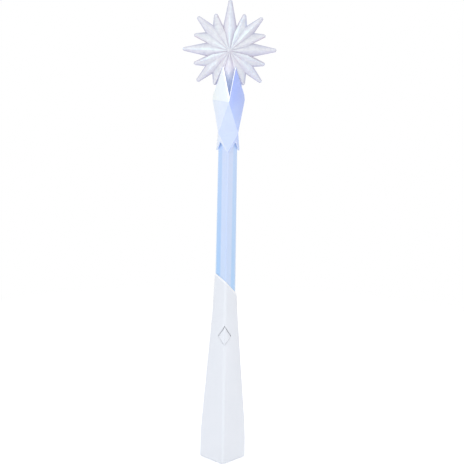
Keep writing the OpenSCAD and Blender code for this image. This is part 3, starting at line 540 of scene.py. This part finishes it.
def star_tree():
    """Half a starburst: a cone of five rings and sixty-four spokes, drawn out into sixteen points.
    Each point has a right, a middle and a left spoke, and a valley follows it."""
    tree, given = new_tree("star points", {"Float": (
        "Upright", "Level", "Diagonal", "Short", "Tip", "Main valley", "Side valley", "Main turn",
        "Side turn", "Nub", "Height", "Side")})
    rings, spokes, per_quarter, per_point = 5, 64, 16.0, 4.0
    quarter_turn, step = TURN / 4, TURN / 16
    blunting, at_nub = 0.5, 0.001
    cone = add(tree, "GeometryNodeMeshCone", {"fill_type": "TRIANGLE_FAN"}, {
        "Vertices": spokes, "Side Segments": rings - 1, "Fill Segments": 1, "Radius Top": 0.0,
        "Radius Bottom": 1.0, "Depth": 1.0})
    place = add(tree, "ShaderNodeSeparateXYZ", links=[add(tree, "GeometryNodeInputPosition")]).outputs

    # Which ring and which spoke of a quarter a vertex is on.
    down = add(tree, "ShaderNodeMath", "MULTIPLY_ADD", [place["Z"], 1 - rings, rings - 1])
    ring = add(tree, "ShaderNodeMath", "ROUND", [down])
    turn = add(tree, "ShaderNodeMath", "ARCTAN2", [place["Y"], place["X"]])
    count = add(tree, "ShaderNodeMath", "MULTIPLY", [turn, spokes / TURN])
    whole = add(tree, "ShaderNodeMath", "ROUND", [count])
    spoke = add(tree, "ShaderNodeMath", "FLOORED_MODULO", [whole, spokes])
    part = add(tree, "ShaderNodeMath", "FLOORED_MODULO", [spoke, per_quarter])
    share = add(tree, "ShaderNodeMath", "DIVIDE", [spoke, per_quarter])
    quarter = add(tree, "ShaderNodeMath", "FLOOR", [share])
    odd = add(tree, "ShaderNodeMath", "FLOORED_MODULO", [quarter, 2.0])

    # How far each spoke of a quarter reaches and where it aims.
    here, after = [add(tree, "ShaderNodeMix", {"data_type": "FLOAT"}, {
        "Factor": odd, "A": given[one], "B": given[other]})
        for one, other in (("Upright", "Level"), ("Level", "Upright"))]
    short, diagonal = [given["Short"]] * 3, [given["Diagonal"]] * 3
    near, far = given["Main valley"], given["Side valley"]
    reach = add(tree, "GeometryNodeIndexSwitch", {"data_type": "FLOAT", "items": [
        here, here, near, *short, far, *diagonal, far, *short, near, after]}, {"Index": part})
    near_turn, far_turn = given["Main turn"], given["Side turn"]
    back_near, back_far = [add(tree, "ShaderNodeMath", "SUBTRACT", [quarter_turn, turned])
                           for turned in (near_turn, far_turn)]
    aim = add(tree, "GeometryNodeIndexSwitch", {"data_type": "FLOAT", "items": [
        0.0, 0.0, near_turn, *[step] * 3, far_turn, *[2 * step] * 3, back_far, *[3 * step] * 3,
        back_near, quarter_turn]}, {"Index": part})

    # To which side of its point's ridge a spoke lies, and what each ring does to it.
    side = add(tree, "ShaderNodeMath", "FLOORED_MODULO", [part, per_point])
    lean, ridge = [add(tree, "GeometryNodeIndexSwitch", {"data_type": "FLOAT", "items": row}, {
        "Index": side}) for row in ([0.0, 1.0, 0.0, -1.0], [1.0, 0.8, 0.0, 0.8])]
    rule = {name: add(tree, "GeometryNodeIndexSwitch", {"data_type": "FLOAT", "items": row}, {
        "Index": ring}) for name, row in STAR_RINGS.items()}
    crest = add(tree, "ShaderNodeMath", "GREATER_THAN", [ridge, 0.5])
    out, up = [add(tree, "ShaderNodeMix", {"data_type": "FLOAT"}, {
        "Factor": crest, "A": rule[way + " valley"], "B": rule[way + " ridge"]}) for way in ("out", "up")]

    # The spoke's angle, with its flank as wide as the tip and the ring's swell make it.
    half = add(tree, "ShaderNodeMath", "DIVIDE", [given["Tip"], reach])
    slim = add(tree, "ShaderNodeMath", "ARCSINE", [half])
    wide = add(tree, "ShaderNodeMath", "MULTIPLY", [slim, rule["swell"]])
    off = add(tree, "ShaderNodeMath", "MULTIPLY_ADD", [wide, lean, aim])
    base = add(tree, "ShaderNodeMath", "MULTIPLY_ADD", [quarter, quarter_turn, quarter_turn])
    angle = add(tree, "ShaderNodeMath", "ADD", [off, base])

    # The vertex's distance from the centre, nought at the nub itself, with blunted tips.
    flank = add(tree, "ShaderNodeMath", "ABSOLUTE", [lean])
    blunt = add(tree, "ShaderNodeMath", "MULTIPLY", [flank, given["Tip"]])
    cut = add(tree, "ShaderNodeMath", "MULTIPLY_ADD", [blunt, -blunting, reach])
    far_out = add(tree, "ShaderNodeMath", "MULTIPLY", [cut, out])
    flat = add(tree, "ShaderNodeCombineXYZ", links=[place["X"], place["Y"]])
    spread = add(tree, "ShaderNodeVectorMath", "LENGTH", [flat])
    apart = add(tree, "ShaderNodeMath", "GREATER_THAN", [spread, at_nub])
    radius = add(tree, "ShaderNodeMath", "MULTIPLY", [far_out, apart])

    # Its height over the parting plane, and its place.
    eave = add(tree, "ShaderNodeMath", "MULTIPLY_ADD", [flank, rule["roof"], 1.0])
    slope = add(tree, "ShaderNodeMath", "MULTIPLY", [up, eave])
    tall = add(tree, "ShaderNodeMath", "MULTIPLY", [given["Nub"], slope])
    cosine = add(tree, "ShaderNodeMath", "COSINE", [angle])
    sine = add(tree, "ShaderNodeMath", "SINE", [angle])
    x = add(tree, "ShaderNodeMath", "MULTIPLY", [radius, cosine])
    y = add(tree, "ShaderNodeMath", "MULTIPLY", [tall, given["Side"]])
    z = add(tree, "ShaderNodeMath", "MULTIPLY_ADD", [radius, sine, given["Height"]])
    spot = add(tree, "ShaderNodeCombineXYZ", links=[x, y, z])
    rim = add(tree, "ShaderNodeMath", "GREATER_THAN", [ring, rings - 1.5])
    shape = cone
    for name, value in (("ridge", ridge), ("rim", rim)):
        shape = add(tree, "GeometryNodeStoreNamedAttribute", {"data_type": "FLOAT", "domain": "POINT"}, {
            "Geometry": shape, "Name": name, "Value": value})
    moved = add(tree, "GeometryNodeSetPosition", links={"Geometry": shape, "Position": spot})
    return close_tree(tree, given, moved)


def spring_tree():
    """A conical wire spring on its end."""
    tree, given = new_tree("contact spring", {
        "Float": ("Turns", "Wide", "Narrow", "Length", "Wire"), "Vector": ("Place",), "Rotation": ("Lie",)})
    coil = add(tree, "GeometryNodeCurveSpiral", links={
        "Resolution": 40, "Rotations": given["Turns"], "Start Radius": given["Wide"],
        "End Radius": given["Narrow"], "Height": given["Length"]})
    put = add(tree, "GeometryNodeTransform", links={
        "Geometry": drawn(tree, coil, sides=12, radius=given["Wire"]), "Translation": given["Place"],
        "Rotation": given["Lie"]})
    return close_tree(tree, given, put)


def lead_tree():
    """A sleeved wire that sways from one end to the other and bows forward on the way."""
    tree, given = new_tree("lead", {"Vector": ("Start", "End"), "Float": ("Bow", "Radius")})
    line = add(tree, "GeometryNodeCurvePrimitiveLine")
    fine = add(tree, "GeometryNodeResampleCurve", links={"Curve": line, "Count": 32})
    along = add(tree, "GeometryNodeSplineParameter")
    sway = add(tree, "ShaderNodeMapRange", {"interpolation_type": "SMOOTHERSTEP"}, {
        "Value": along, "From Min": 0.15, "From Max": 0.9})
    first, last = [add(tree, "ShaderNodeSeparateXYZ", links=[given[end]]).outputs
                   for end in ("Start", "End")]
    x, y, z = [add(tree, "ShaderNodeMix", {"data_type": "FLOAT"}, {
        "Factor": factor, "A": first[way], "B": last[way]})
        for way, factor in (("X", sway), ("Y", sway), ("Z", along))]
    half = add(tree, "ShaderNodeMath", "MULTIPLY", [along, TURN / 2])
    hump = add(tree, "ShaderNodeMath", "SINE", [half])
    out = add(tree, "ShaderNodeMath", "MULTIPLY_ADD", [hump, given["Bow"], y])
    spot = add(tree, "ShaderNodeCombineXYZ", links=[x, out, z])
    path = add(tree, "GeometryNodeSetPosition", links={"Geometry": fine, "Position": spot})
    return close_tree(tree, given, drawn(tree, path, sides=14, radius=given["Radius"]))


def screw_tree():
    """Pan-head screws with a cross recess and a thread, one at each point of a row; each points
    towards -Y from its seat."""
    tree, given = new_tree("pan-head screws", {
        "Int": ("Count",), "Vector": ("First", "Pitch"),
        "Float": ("Head radius", "Head height", "Shank radius", "Shank length", "Recess")})
    head_r, head_h, shank_r = given["Head radius"], given["Head height"], given["Shank radius"]
    size = {name: add(tree, "ShaderNodeMath", "MULTIPLY", [whole, share]) for name, whole, share in (
        ("core", shank_r, 0.8), ("tip", shank_r, 0.15), ("taper", shank_r, 1.2), ("lead", shank_r, 0.7),
        ("tooth", shank_r, 0.18), ("tip y", given["Shank length"], -1.0), ("brow y", head_h, 0.55),
        ("dome y", head_h, 0.9), ("dome", head_r, 0.82), ("crown", head_r, 0.5), ("bar", head_r, 1.15))}
    taper_y = add(tree, "ShaderNodeMath", "ADD", [size["tip y"], size["taper"]])

    # The turned body, as rows of depth and girth from the tip to the head's crown.
    speck = 0.01 * MM
    rows = (
        (size["tip y"], size["tip"]), (taper_y, size["core"]), (-speck, size["core"]), (0.0, head_r),
        (size["brow y"], head_r), (size["dome y"], size["dome"]), (head_h, size["crown"]), (head_h, speck))
    line = add(tree, "GeometryNodeCurvePrimitiveLine")
    points = add(tree, "GeometryNodeResampleCurve", links={"Curve": line, "Count": len(rows)})
    index = add(tree, "GeometryNodeInputIndex")
    depth, girth = [add(tree, "GeometryNodeIndexSwitch", {"data_type": "FLOAT", "items": list(column)}, {
        "Index": index}) for column in zip(*rows)]
    spot = add(tree, "ShaderNodeCombineXYZ", links={"Y": depth})
    axis = add(tree, "GeometryNodeSetPosition", links={"Geometry": points, "Position": spot})
    unit = add(tree, "GeometryNodeCurvePrimitiveCircle", links={"Resolution": 32, "Radius": 1.0})
    body = add(tree, "GeometryNodeCurveToMesh", links={
        "Curve": axis, "Profile Curve": unit, "Scale": girth, "Fill Caps": True})

    # The cross recess, cut by a bar that lies flat and then upright.
    bar = add(tree, "ShaderNodeCombineXYZ", links=[size["bar"], head_h, given["Recess"]])
    stock = add(tree, "GeometryNodeMeshCube", links={"Size": bar})
    lift = add(tree, "ShaderNodeCombineXYZ", links={"Y": head_h})
    for lie in (0.0, TURN / 4):
        blade = add(tree, "GeometryNodeTransform", links={
            "Geometry": stock, "Translation": lift, "Rotation": (0.0, lie, 0.0)})
        body = add(tree, "GeometryNodeMeshBoolean", {"operation": "DIFFERENCE", "solver": "EXACT"}, {
            "Mesh 1": body, "Mesh 2": blade})

    # The thread, which stops a little short of the taper.
    threaded = 0.92
    run = add(tree, "ShaderNodeMath", "MULTIPLY", [taper_y, -threaded])
    turns = add(tree, "ShaderNodeMath", "DIVIDE", [run, size["lead"]])
    helix = add(tree, "GeometryNodeCurveSpiral", links={
        "Resolution": 20, "Rotations": turns, "Start Radius": size["core"], "End Radius": size["core"],
        "Height": run})
    thread = add(tree, "GeometryNodeTransform", links={
        "Geometry": drawn(tree, helix, sides=4, radius=size["tooth"]), "Rotation": (TURN / 4, 0.0, 0.0)})
    screw = add(tree, "GeometryNodeJoinGeometry", links={"Geometry": [body, thread]})
    row = add(tree, "GeometryNodeMeshLine", links={
        "Count": given["Count"], "Start Location": given["First"], "Offset": given["Pitch"]})
    return close_tree(tree, given, add(tree, "GeometryNodeInstanceOnPoints", links={
        "Points": row, "Instance": screw}))


# Settings


class WandLooks(bpy.types.PropertyGroup):
    """Colours and edge sizes a user would change."""

    white: bpy.props.StringProperty(
        name="Handle white", description="sRGB of the handle", default="#F2F3F6")
    milky: bpy.props.StringProperty(
        name="Milky blue", description="sRGB of the crown's pale facets", default="#F5FEFF")
    ice: bpy.props.StringProperty(
        name="Ice blue", description="sRGB of the crown's middle facets", default="#D8E4FF")
    deep: bpy.props.StringProperty(
        name="Deep blue", description="sRGB of the crown's deep facets", default="#A8C0FF")
    core: bpy.props.StringProperty(
        name="Shaft core", description="sRGB of the shaft over its bore", default="#CCE2FF")
    pearl: bpy.props.StringProperty(
        name="Pearl", description="sRGB of the starburst's ridges", default="#F2EEF0")
    lilac: bpy.props.StringProperty(
        name="Lilac", description="sRGB of the starburst's valleys", default="#DDD8E0")
    seam: bpy.props.FloatProperty(
        name="Moulded edge", description="Rounding of the mouldings' edges", default=0.2 * MM,
        unit="LENGTH")
    sag: bpy.props.FloatProperty(
        name="Button sag", description="How far the button's face sits low in its opening",
        default=0.3 * MM, unit="LENGTH")
    facet: bpy.props.FloatProperty(
        name="Facet edge", description="Rounding of the crown's facets", default=0.2 * MM, unit="LENGTH")


class WandStar(bpy.types.PropertyGroup):
    """Sizes of the starburst, each named for the tree's input: as in the CAD model, but with tips a
    little wider."""

    upright: bpy.props.FloatProperty(
        name="Upright", description="Centre to the upright tips", default=38.4 * MM, unit="LENGTH")
    level: bpy.props.FloatProperty(
        name="Level", description="Centre to the level tips", default=36.19 * MM, unit="LENGTH")
    diagonal: bpy.props.FloatProperty(
        name="Diagonal", description="Centre to the diagonal tips", default=35.33 * MM, unit="LENGTH")
    short: bpy.props.FloatProperty(
        name="Short", description="Centre to the short tips", default=29.76 * MM, unit="LENGTH")
    tip: bpy.props.FloatProperty(
        name="Tip", description="Half the width of a tip", default=1.6 * MM, unit="LENGTH")
    near: bpy.props.FloatProperty(
        name="Main valley", description="Centre to the valleys beside the main points",
        default=18.8 * MM, unit="LENGTH")
    far: bpy.props.FloatProperty(
        name="Side valley", description="Centre to the other valleys", default=22.8 * MM, unit="LENGTH")
    near_turn: bpy.props.FloatProperty(
        name="Main turn", description="Main point to the next valley", default=math.radians(15.8),
        subtype="ANGLE")
    far_turn: bpy.props.FloatProperty(
        name="Side turn", description="Main point to the second valley", default=math.radians(35),
        subtype="ANGLE")
    nub: bpy.props.FloatProperty(
        name="Nub", description="Height of the nub over the parting plane", default=7.2 * MM,
        unit="LENGTH")
    height: bpy.props.FloatProperty(
        name="Height", description="Height of the star's centre", default=334.5 * MM, unit="LENGTH")


class WandCamera(bpy.types.PropertyGroup):
    """Where the picture is taken from."""

    distance: bpy.props.FloatProperty(
        name="Distance", description="Camera to the wand's axis", default=1.238, unit="LENGTH")
    aim: bpy.props.FloatProperty(name="Aim", description="Height looked at", default=0.1899, unit="LENGTH")
    side: bpy.props.FloatProperty(
        name="Side", description="How far right of the axis the camera looks", default=0.0045,
        unit="LENGTH")
    turn: bpy.props.FloatProperty(
        name="Turn", description="Azimuth of the camera", default=math.radians(-0.625), subtype="ANGLE")
    rise: bpy.props.FloatProperty(
        name="Rise", description="Elevation of the camera", default=math.radians(14.2), subtype="ANGLE")
    roll: bpy.props.FloatProperty(
        name="Roll", description="Tilt of the picture", default=math.radians(1.084), subtype="ANGLE")
    focal: bpy.props.FloatProperty(name="Focal length", description="In mm on a 36 mm frame", default=121.3)


# Pieces


class WAND_OT_handle(bpy.types.Operator):
    """Front and back shells, with a fine line where they meet, and the battery door"""

    bl_idname = "wand.handle"
    bl_label = "Handle and door"

    def execute(self, context):
        looks = context.scene.wand_looks
        white = material("moulded white ABS", moulded_abs, looks.white, "#EEF0F4", rough=0.36, coat=0.1)
        for node, body in (("handle_front_shell", "wand"), ("handle_back_shell", "wand"),
                           ("battery_door", "battery_door")):
            piece = soft_copy(node, node + "_moulding", looks.seam, steps=2, smooth=35, wanted=on_outside)
            dress(piece, white, "white_shell", body, node)
        return {"FINISHED"}


class WAND_OT_button(bpy.types.Operator):
    """Folded rhombus push button"""

    bl_idname = "wand.button"
    bl_label = "Button"

    def execute(self, context):
        looks = context.scene.wand_looks
        white = material(
            "moulded white ABS, polished", moulded_abs, looks.white, "#F2F5FA", rough=0.24, coat=0.3)
        piece = soft_copy(
            "button_cap", "button_moulding", looks.seam, steps=3, smooth=35, wanted=on_button_face)
        for vertex in piece.data.vertices:
            if vertex.co.y < BUTTON_FACE:
                vertex.co.z -= looks.sag
        dress(piece, white, "white_button", "button", "button_cap")
        return {"FINISHED"}


class WAND_OT_shaft(bpy.types.Operator):
    """Clear square shaft, crown and star seat"""

    bl_idname = "wand.shaft"
    bl_label = "Shaft and crown"

    def execute(self, context):
        looks = context.scene.wand_looks
        fine = 0.15 * MM
        tube = material(
            "clear polystyrene, ice blue", clear_shaft, looks.core, "#A9D4FF", "#B4DAFF", clear=0.05)
        shell = material(
            "clear polystyrene, pearl wash", pearly_crown, looks.milky, looks.ice, looks.deep, clear=0.05)
        for node, finish, width in (("shaft", tube, fine), ("crown", shell, looks.facet),
                                    ("star_seat", shell, fine)):
            piece = soft_copy(
                node, node + "_moulding", V_CUT_CHAMFER, steps=1, smooth=20, wanted=on_v_cut)
            soften(piece.data, width, steps=2, smooth=20)
            if node == "shaft":
                key_ribs(piece.data)
            wash_facets(piece.data)
            dress(piece, finish, "ice_blue", "wand", node)
        return {"FINISHED"}


class WAND_OT_starburst(bpy.types.Operator):
    """Front and back halves of the starburst"""

    bl_idname = "wand.starburst"
    bl_label = "Starburst"

    def execute(self, context):
        looks, star = context.scene.wand_looks, context.scene.wand_star
        pearl = material(
            "clear polystyrene, pearl pigment", pearl_star, looks.pearl, looks.lilac, "#FAEAEF", clear=0.08)
        sizes = {star.bl_rna.properties[key].name: getattr(star, key) for key in WandStar.__annotations__}
        tree = star_tree()
        level, left, upward = 0.5, 0.6, 0.4
        for node, side in (("star_front", -1.0), ("star_back", 1.0)):
            piece = grow(node + "_points", tree, {**sizes, "Side": side, "Material": pearl})
            mesh = piece.data
            work = bmesh.new()
            work.from_mesh(mesh)
            bmesh.ops.remove_doubles(work, verts=work.verts, dist=WELD)
            bmesh.ops.recalc_face_normals(work, faces=work.faces)
            work.to_mesh(mesh)
            work.free()
            shade_smooth(mesh, angle=14)
            # Painted light: facets turned up or to the left get a higher mark, which the material paints
            # paler, as if lit from there.
            wash = mesh.attributes.new("wash", "FLOAT", "FACE")
            for face in mesh.polygons:
                wash.data[face.index].value = level - left * face.normal.x + upward * face.normal.z
            dress(piece, pearl, "pearl", "wand", node)
        return {"FINISHED"}


class WAND_OT_fittings(bpy.types.Operator):
    """Finishes for the cells, contacts, board and light"""

    bl_idname = "wand.fittings"
    bl_label = "Fittings"

    def execute(self, context):
        strip = material("plated strip steel", plated_steel, "#CFCBBE", rough=0.32)
        epoxy = material(
            "black glob-top epoxy", dipped_resin, "#15161A", "#1D1E22", rough=0.25, size=1.5 * MM)
        finishes = {
            "lower_contact": strip, "left_contact": strip, "right_contact": strip, "light_legs": strip,
            "left_battery": material(
                "film sleeve, button up", cell_film, low=6.4 * MM, high=48.2 * MM, band=(0.72, 0.97)),
            "right_battery": material(
                "film sleeve, button down", cell_film, low=4.4 * MM, high=46.2 * MM, band=(0.03, 0.28)),
            "circuit_board": material("glass-epoxy board, green mask", solder_mask),
            "chip_blob": epoxy, "resistors": epoxy,
            "capacitor": material(
                "capacitor film", dipped_resin, "#26325A", "#2D3A66", rough=0.3, size=2 * MM),
            "switch_body": material(
                "black nylon", dipped_resin, "#26272A", "#2E3033", rough=0.5, size=1.5 * MM),
            "switch_plunger": material(
                "black acetal", dipped_resin, "#2C2D30", "#35373B", rough=0.4, size=1.5 * MM),
            "light_lens": material("clear cast epoxy", cast_epoxy),
        }
        for node, finish in finishes.items():
            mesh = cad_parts[node].data
            mesh.materials.clear()
            mesh.materials.append(finish)
        return {"FINISHED"}


class WAND_OT_wiring(bpy.types.Operator):
    """Contact springs and the two leads"""

    bl_idname = "wand.wiring"
    bl_label = "Springs and leads"

    def execute(self, context):
        wire = material("plated spring wire", plated_steel, "#D2D2CE", rough=0.22)
        coil = spring_tree()
        for node, x, z, lie in (("lower_spring", -CELL_OUT, 2.65 * MM, (0, 0, 0)),
                                ("upper_spring", CELL_OUT, 49.85 * MM, (TURN / 2, 0, 0))):
            piece = grow(node + "_wire", coil, {
                "Turns": 3.0, "Wide": 3.6 * MM, "Narrow": 2.2 * MM, "Length": 2.7 * MM, "Wire": 0.25 * MM,
                "Place": [x, 0.0, z], "Lie": lie, "Material": wire})
            shade_smooth(piece.data)
            dress(piece, wire, "spring_wire", "wand", node)
        path = lead_tree()
        contact, board = (CELL_OUT, -0.8 * MM, 53.2 * MM), (3.8 * MM, -0.6 * MM, 87.2 * MM)
        for colour, side, tint, tone in (("red", -1, "#B5302B", "#A82823"),
                                         ("black", 1, "#232427", "#2B2C30")):
            node = colour + "_lead"
            sleeve = material(colour + " PVC sleeve", dipped_resin, tint, tone, rough=0.45, size=2 * MM)
            piece = grow(node + "_sleeve", path, {
                "Start": [side * contact[0], *contact[1:]], "End": [side * board[0], *board[1:]],
                "Bow": -0.7 * MM, "Radius": 0.55 * MM, "Material": sleeve})
            shade_smooth(piece.data, angle=40)
            dress(piece, sleeve, colour + "_sleeve", "wand", node)
        return {"FINISHED"}


class WAND_OT_screws(bpy.types.Operator):
    """Shell screws and the door's screw"""

    bl_idname = "wand.screws"
    bl_label = "Screws"

    def execute(self, context):
        steel = material("nickel-plated steel", plated_steel, "#C9CACC", rough=0.25)
        tree = screw_tree()
        for node, body, count, head_r, head_h, shank_r in (
                ("shell_screws", "wand", 2, 2.3 * MM, 1.7 * MM, 1.15 * MM),
                ("door_screw", "battery_door", 1, 2.0 * MM, 1.2 * MM, 0.95 * MM)):
            low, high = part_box(node)
            seat = high.y - head_h
            piece = grow(node + "_turned", tree, {
                "Count": count, "First": [0.0, seat, low.z + head_r],
                "Pitch": [0.0, 0.0, high.z - low.z - 2 * head_r], "Head radius": head_r,
                "Head height": head_h, "Shank radius": shank_r, "Shank length": seat - low.y,
                "Recess": 0.6 * MM, "Material": steel})
            shade_smooth(piece.data, angle=30)
            dress(piece, steel, "screw_steel", body, node)
        return {"FINISHED"}


class WAND_OT_stage(bpy.types.Operator):
    """Camera, soft studio light and a pale floor"""

    bl_idname = "wand.stage"
    bl_label = "Stage"

    def execute(self, context):
        scene = context.scene
        scene.view_settings.view_transform = "Standard"
        shot = scene.wand_camera
        back = Vector((math.sin(shot.turn) * math.cos(shot.rise),
                       -math.cos(shot.turn) * math.cos(shot.rise), math.sin(shot.rise)))
        lens = bpy.data.cameras.new("camera")
        lens.sensor_width = 36
        lens.lens = shot.focal
        lens.clip_start, lens.clip_end = 0.05, 20
        scene.camera = self.aimed(
            lens, Vector((0, 0, shot.aim)) + back * shot.distance, (shot.side, 0, shot.aim), shot.roll)

        middle = (0, 0, 0.2)
        for name, place, size, power, colour in (
                ("key", (-0.9, -1.3, 1.1), 1.2, 10.8, "#F4F9FF"),
                ("fill", (1.3, -1.1, 0.6), 1.2, 5.8, "#FBFCFF"),
                ("top", (0.0, 0.3, 1.7), 1.0, 4.3, "#FFFFFF"),
                ("back", (0.3, 1.6, 0.8), 1.2, 6, "#FFFFFF")):
            light = bpy.data.lights.new(name, "AREA")
            light.size, light.energy, light.color = size, power, linear(colour)[:3]
            self.aimed(light, place, middle)

        # The room looks paler to the eye than the light that it gives.
        scene.world = bpy.data.worlds.new("studio")
        scene.world.use_nodes = True
        tree = scene.world.node_tree
        tree.nodes.clear()
        dim, pale = [add(tree, "ShaderNodeBackground", links={"Color": colour, "Strength": strength})
                     for colour, strength in (("#F6F8FC", 0.58), ("#FFFFFF", 1.0))]
        both = add(tree, "ShaderNodeMixShader", links=[in_sight(tree), dim, pale])
        add(tree, "ShaderNodeOutputWorld", links={"Surface": both})

        mesh = bpy.data.meshes.new("floor")
        half = 3.0
        corners = [(-half, -half, 0), (half, -half, 0), (half, half, 0), (-half, half, 0)]
        mesh.from_pydata(corners, [], [(0, 1, 2, 3)])
        mesh.materials.append(material("white paper sweep", paper_sweep))
        put_in("floor", mesh)
        return {"FINISHED"}

    def aimed(self, data, place, target, roll=0.0):
        """A camera or lamp at a place, turned to a target."""
        made = put_in(data.name, data)
        made.location = place
        made.rotation_mode = "QUATERNION"
        look = (Vector(target) - made.location).to_track_quat("-Z", "Y")
        made.rotation_quaternion = look @ Quaternion((0, 0, 1), roll)
        return made


class WAND_PT_panel(bpy.types.Panel):
    """Lists the wand's pieces and settings"""

    bl_label = "Toy Magic Wand"
    bl_idname = "WAND_PT_panel"
    bl_space_type = "VIEW_3D"
    bl_region_type = "UI"
    bl_category = "Wand"

    def draw(self, context):
        column = self.layout.column()
        scene = context.scene
        for group in (scene.wand_looks, scene.wand_star, scene.wand_camera):
            for name in group.__annotations__:
                column.prop(group, name)
        for step in STEPS:
            column.operator(step.bl_idname)


STEPS = (WAND_OT_stage, WAND_OT_handle, WAND_OT_button, WAND_OT_shaft, WAND_OT_starburst,
         WAND_OT_fittings, WAND_OT_wiring, WAND_OT_screws)
CLASSES = (WandLooks, WandStar, WandCamera) + STEPS + (WAND_PT_panel,)


def register():
    for kind in CLASSES:
        bpy.utils.register_class(kind)
    bpy.types.Scene.wand_looks = bpy.props.PointerProperty(type=WandLooks)
    bpy.types.Scene.wand_star = bpy.props.PointerProperty(type=WandStar)
    bpy.types.Scene.wand_camera = bpy.props.PointerProperty(type=WandCamera)


def unregister():
    del bpy.types.Scene.wand_camera
    del bpy.types.Scene.wand_star
    del bpy.types.Scene.wand_looks
    for kind in reversed(CLASSES):
        bpy.utils.unregister_class(kind)


def main():
    register()
    bpy.ops.wand.stage()
    bpy.ops.wand.handle()
    bpy.ops.wand.button()
    bpy.ops.wand.shaft()
    bpy.ops.wand.starburst()
    bpy.ops.wand.fittings()
    bpy.ops.wand.wiring()
    bpy.ops.wand.screws()
    bpy.context.view_layer.update()


if __name__ == "__main__":
    main()
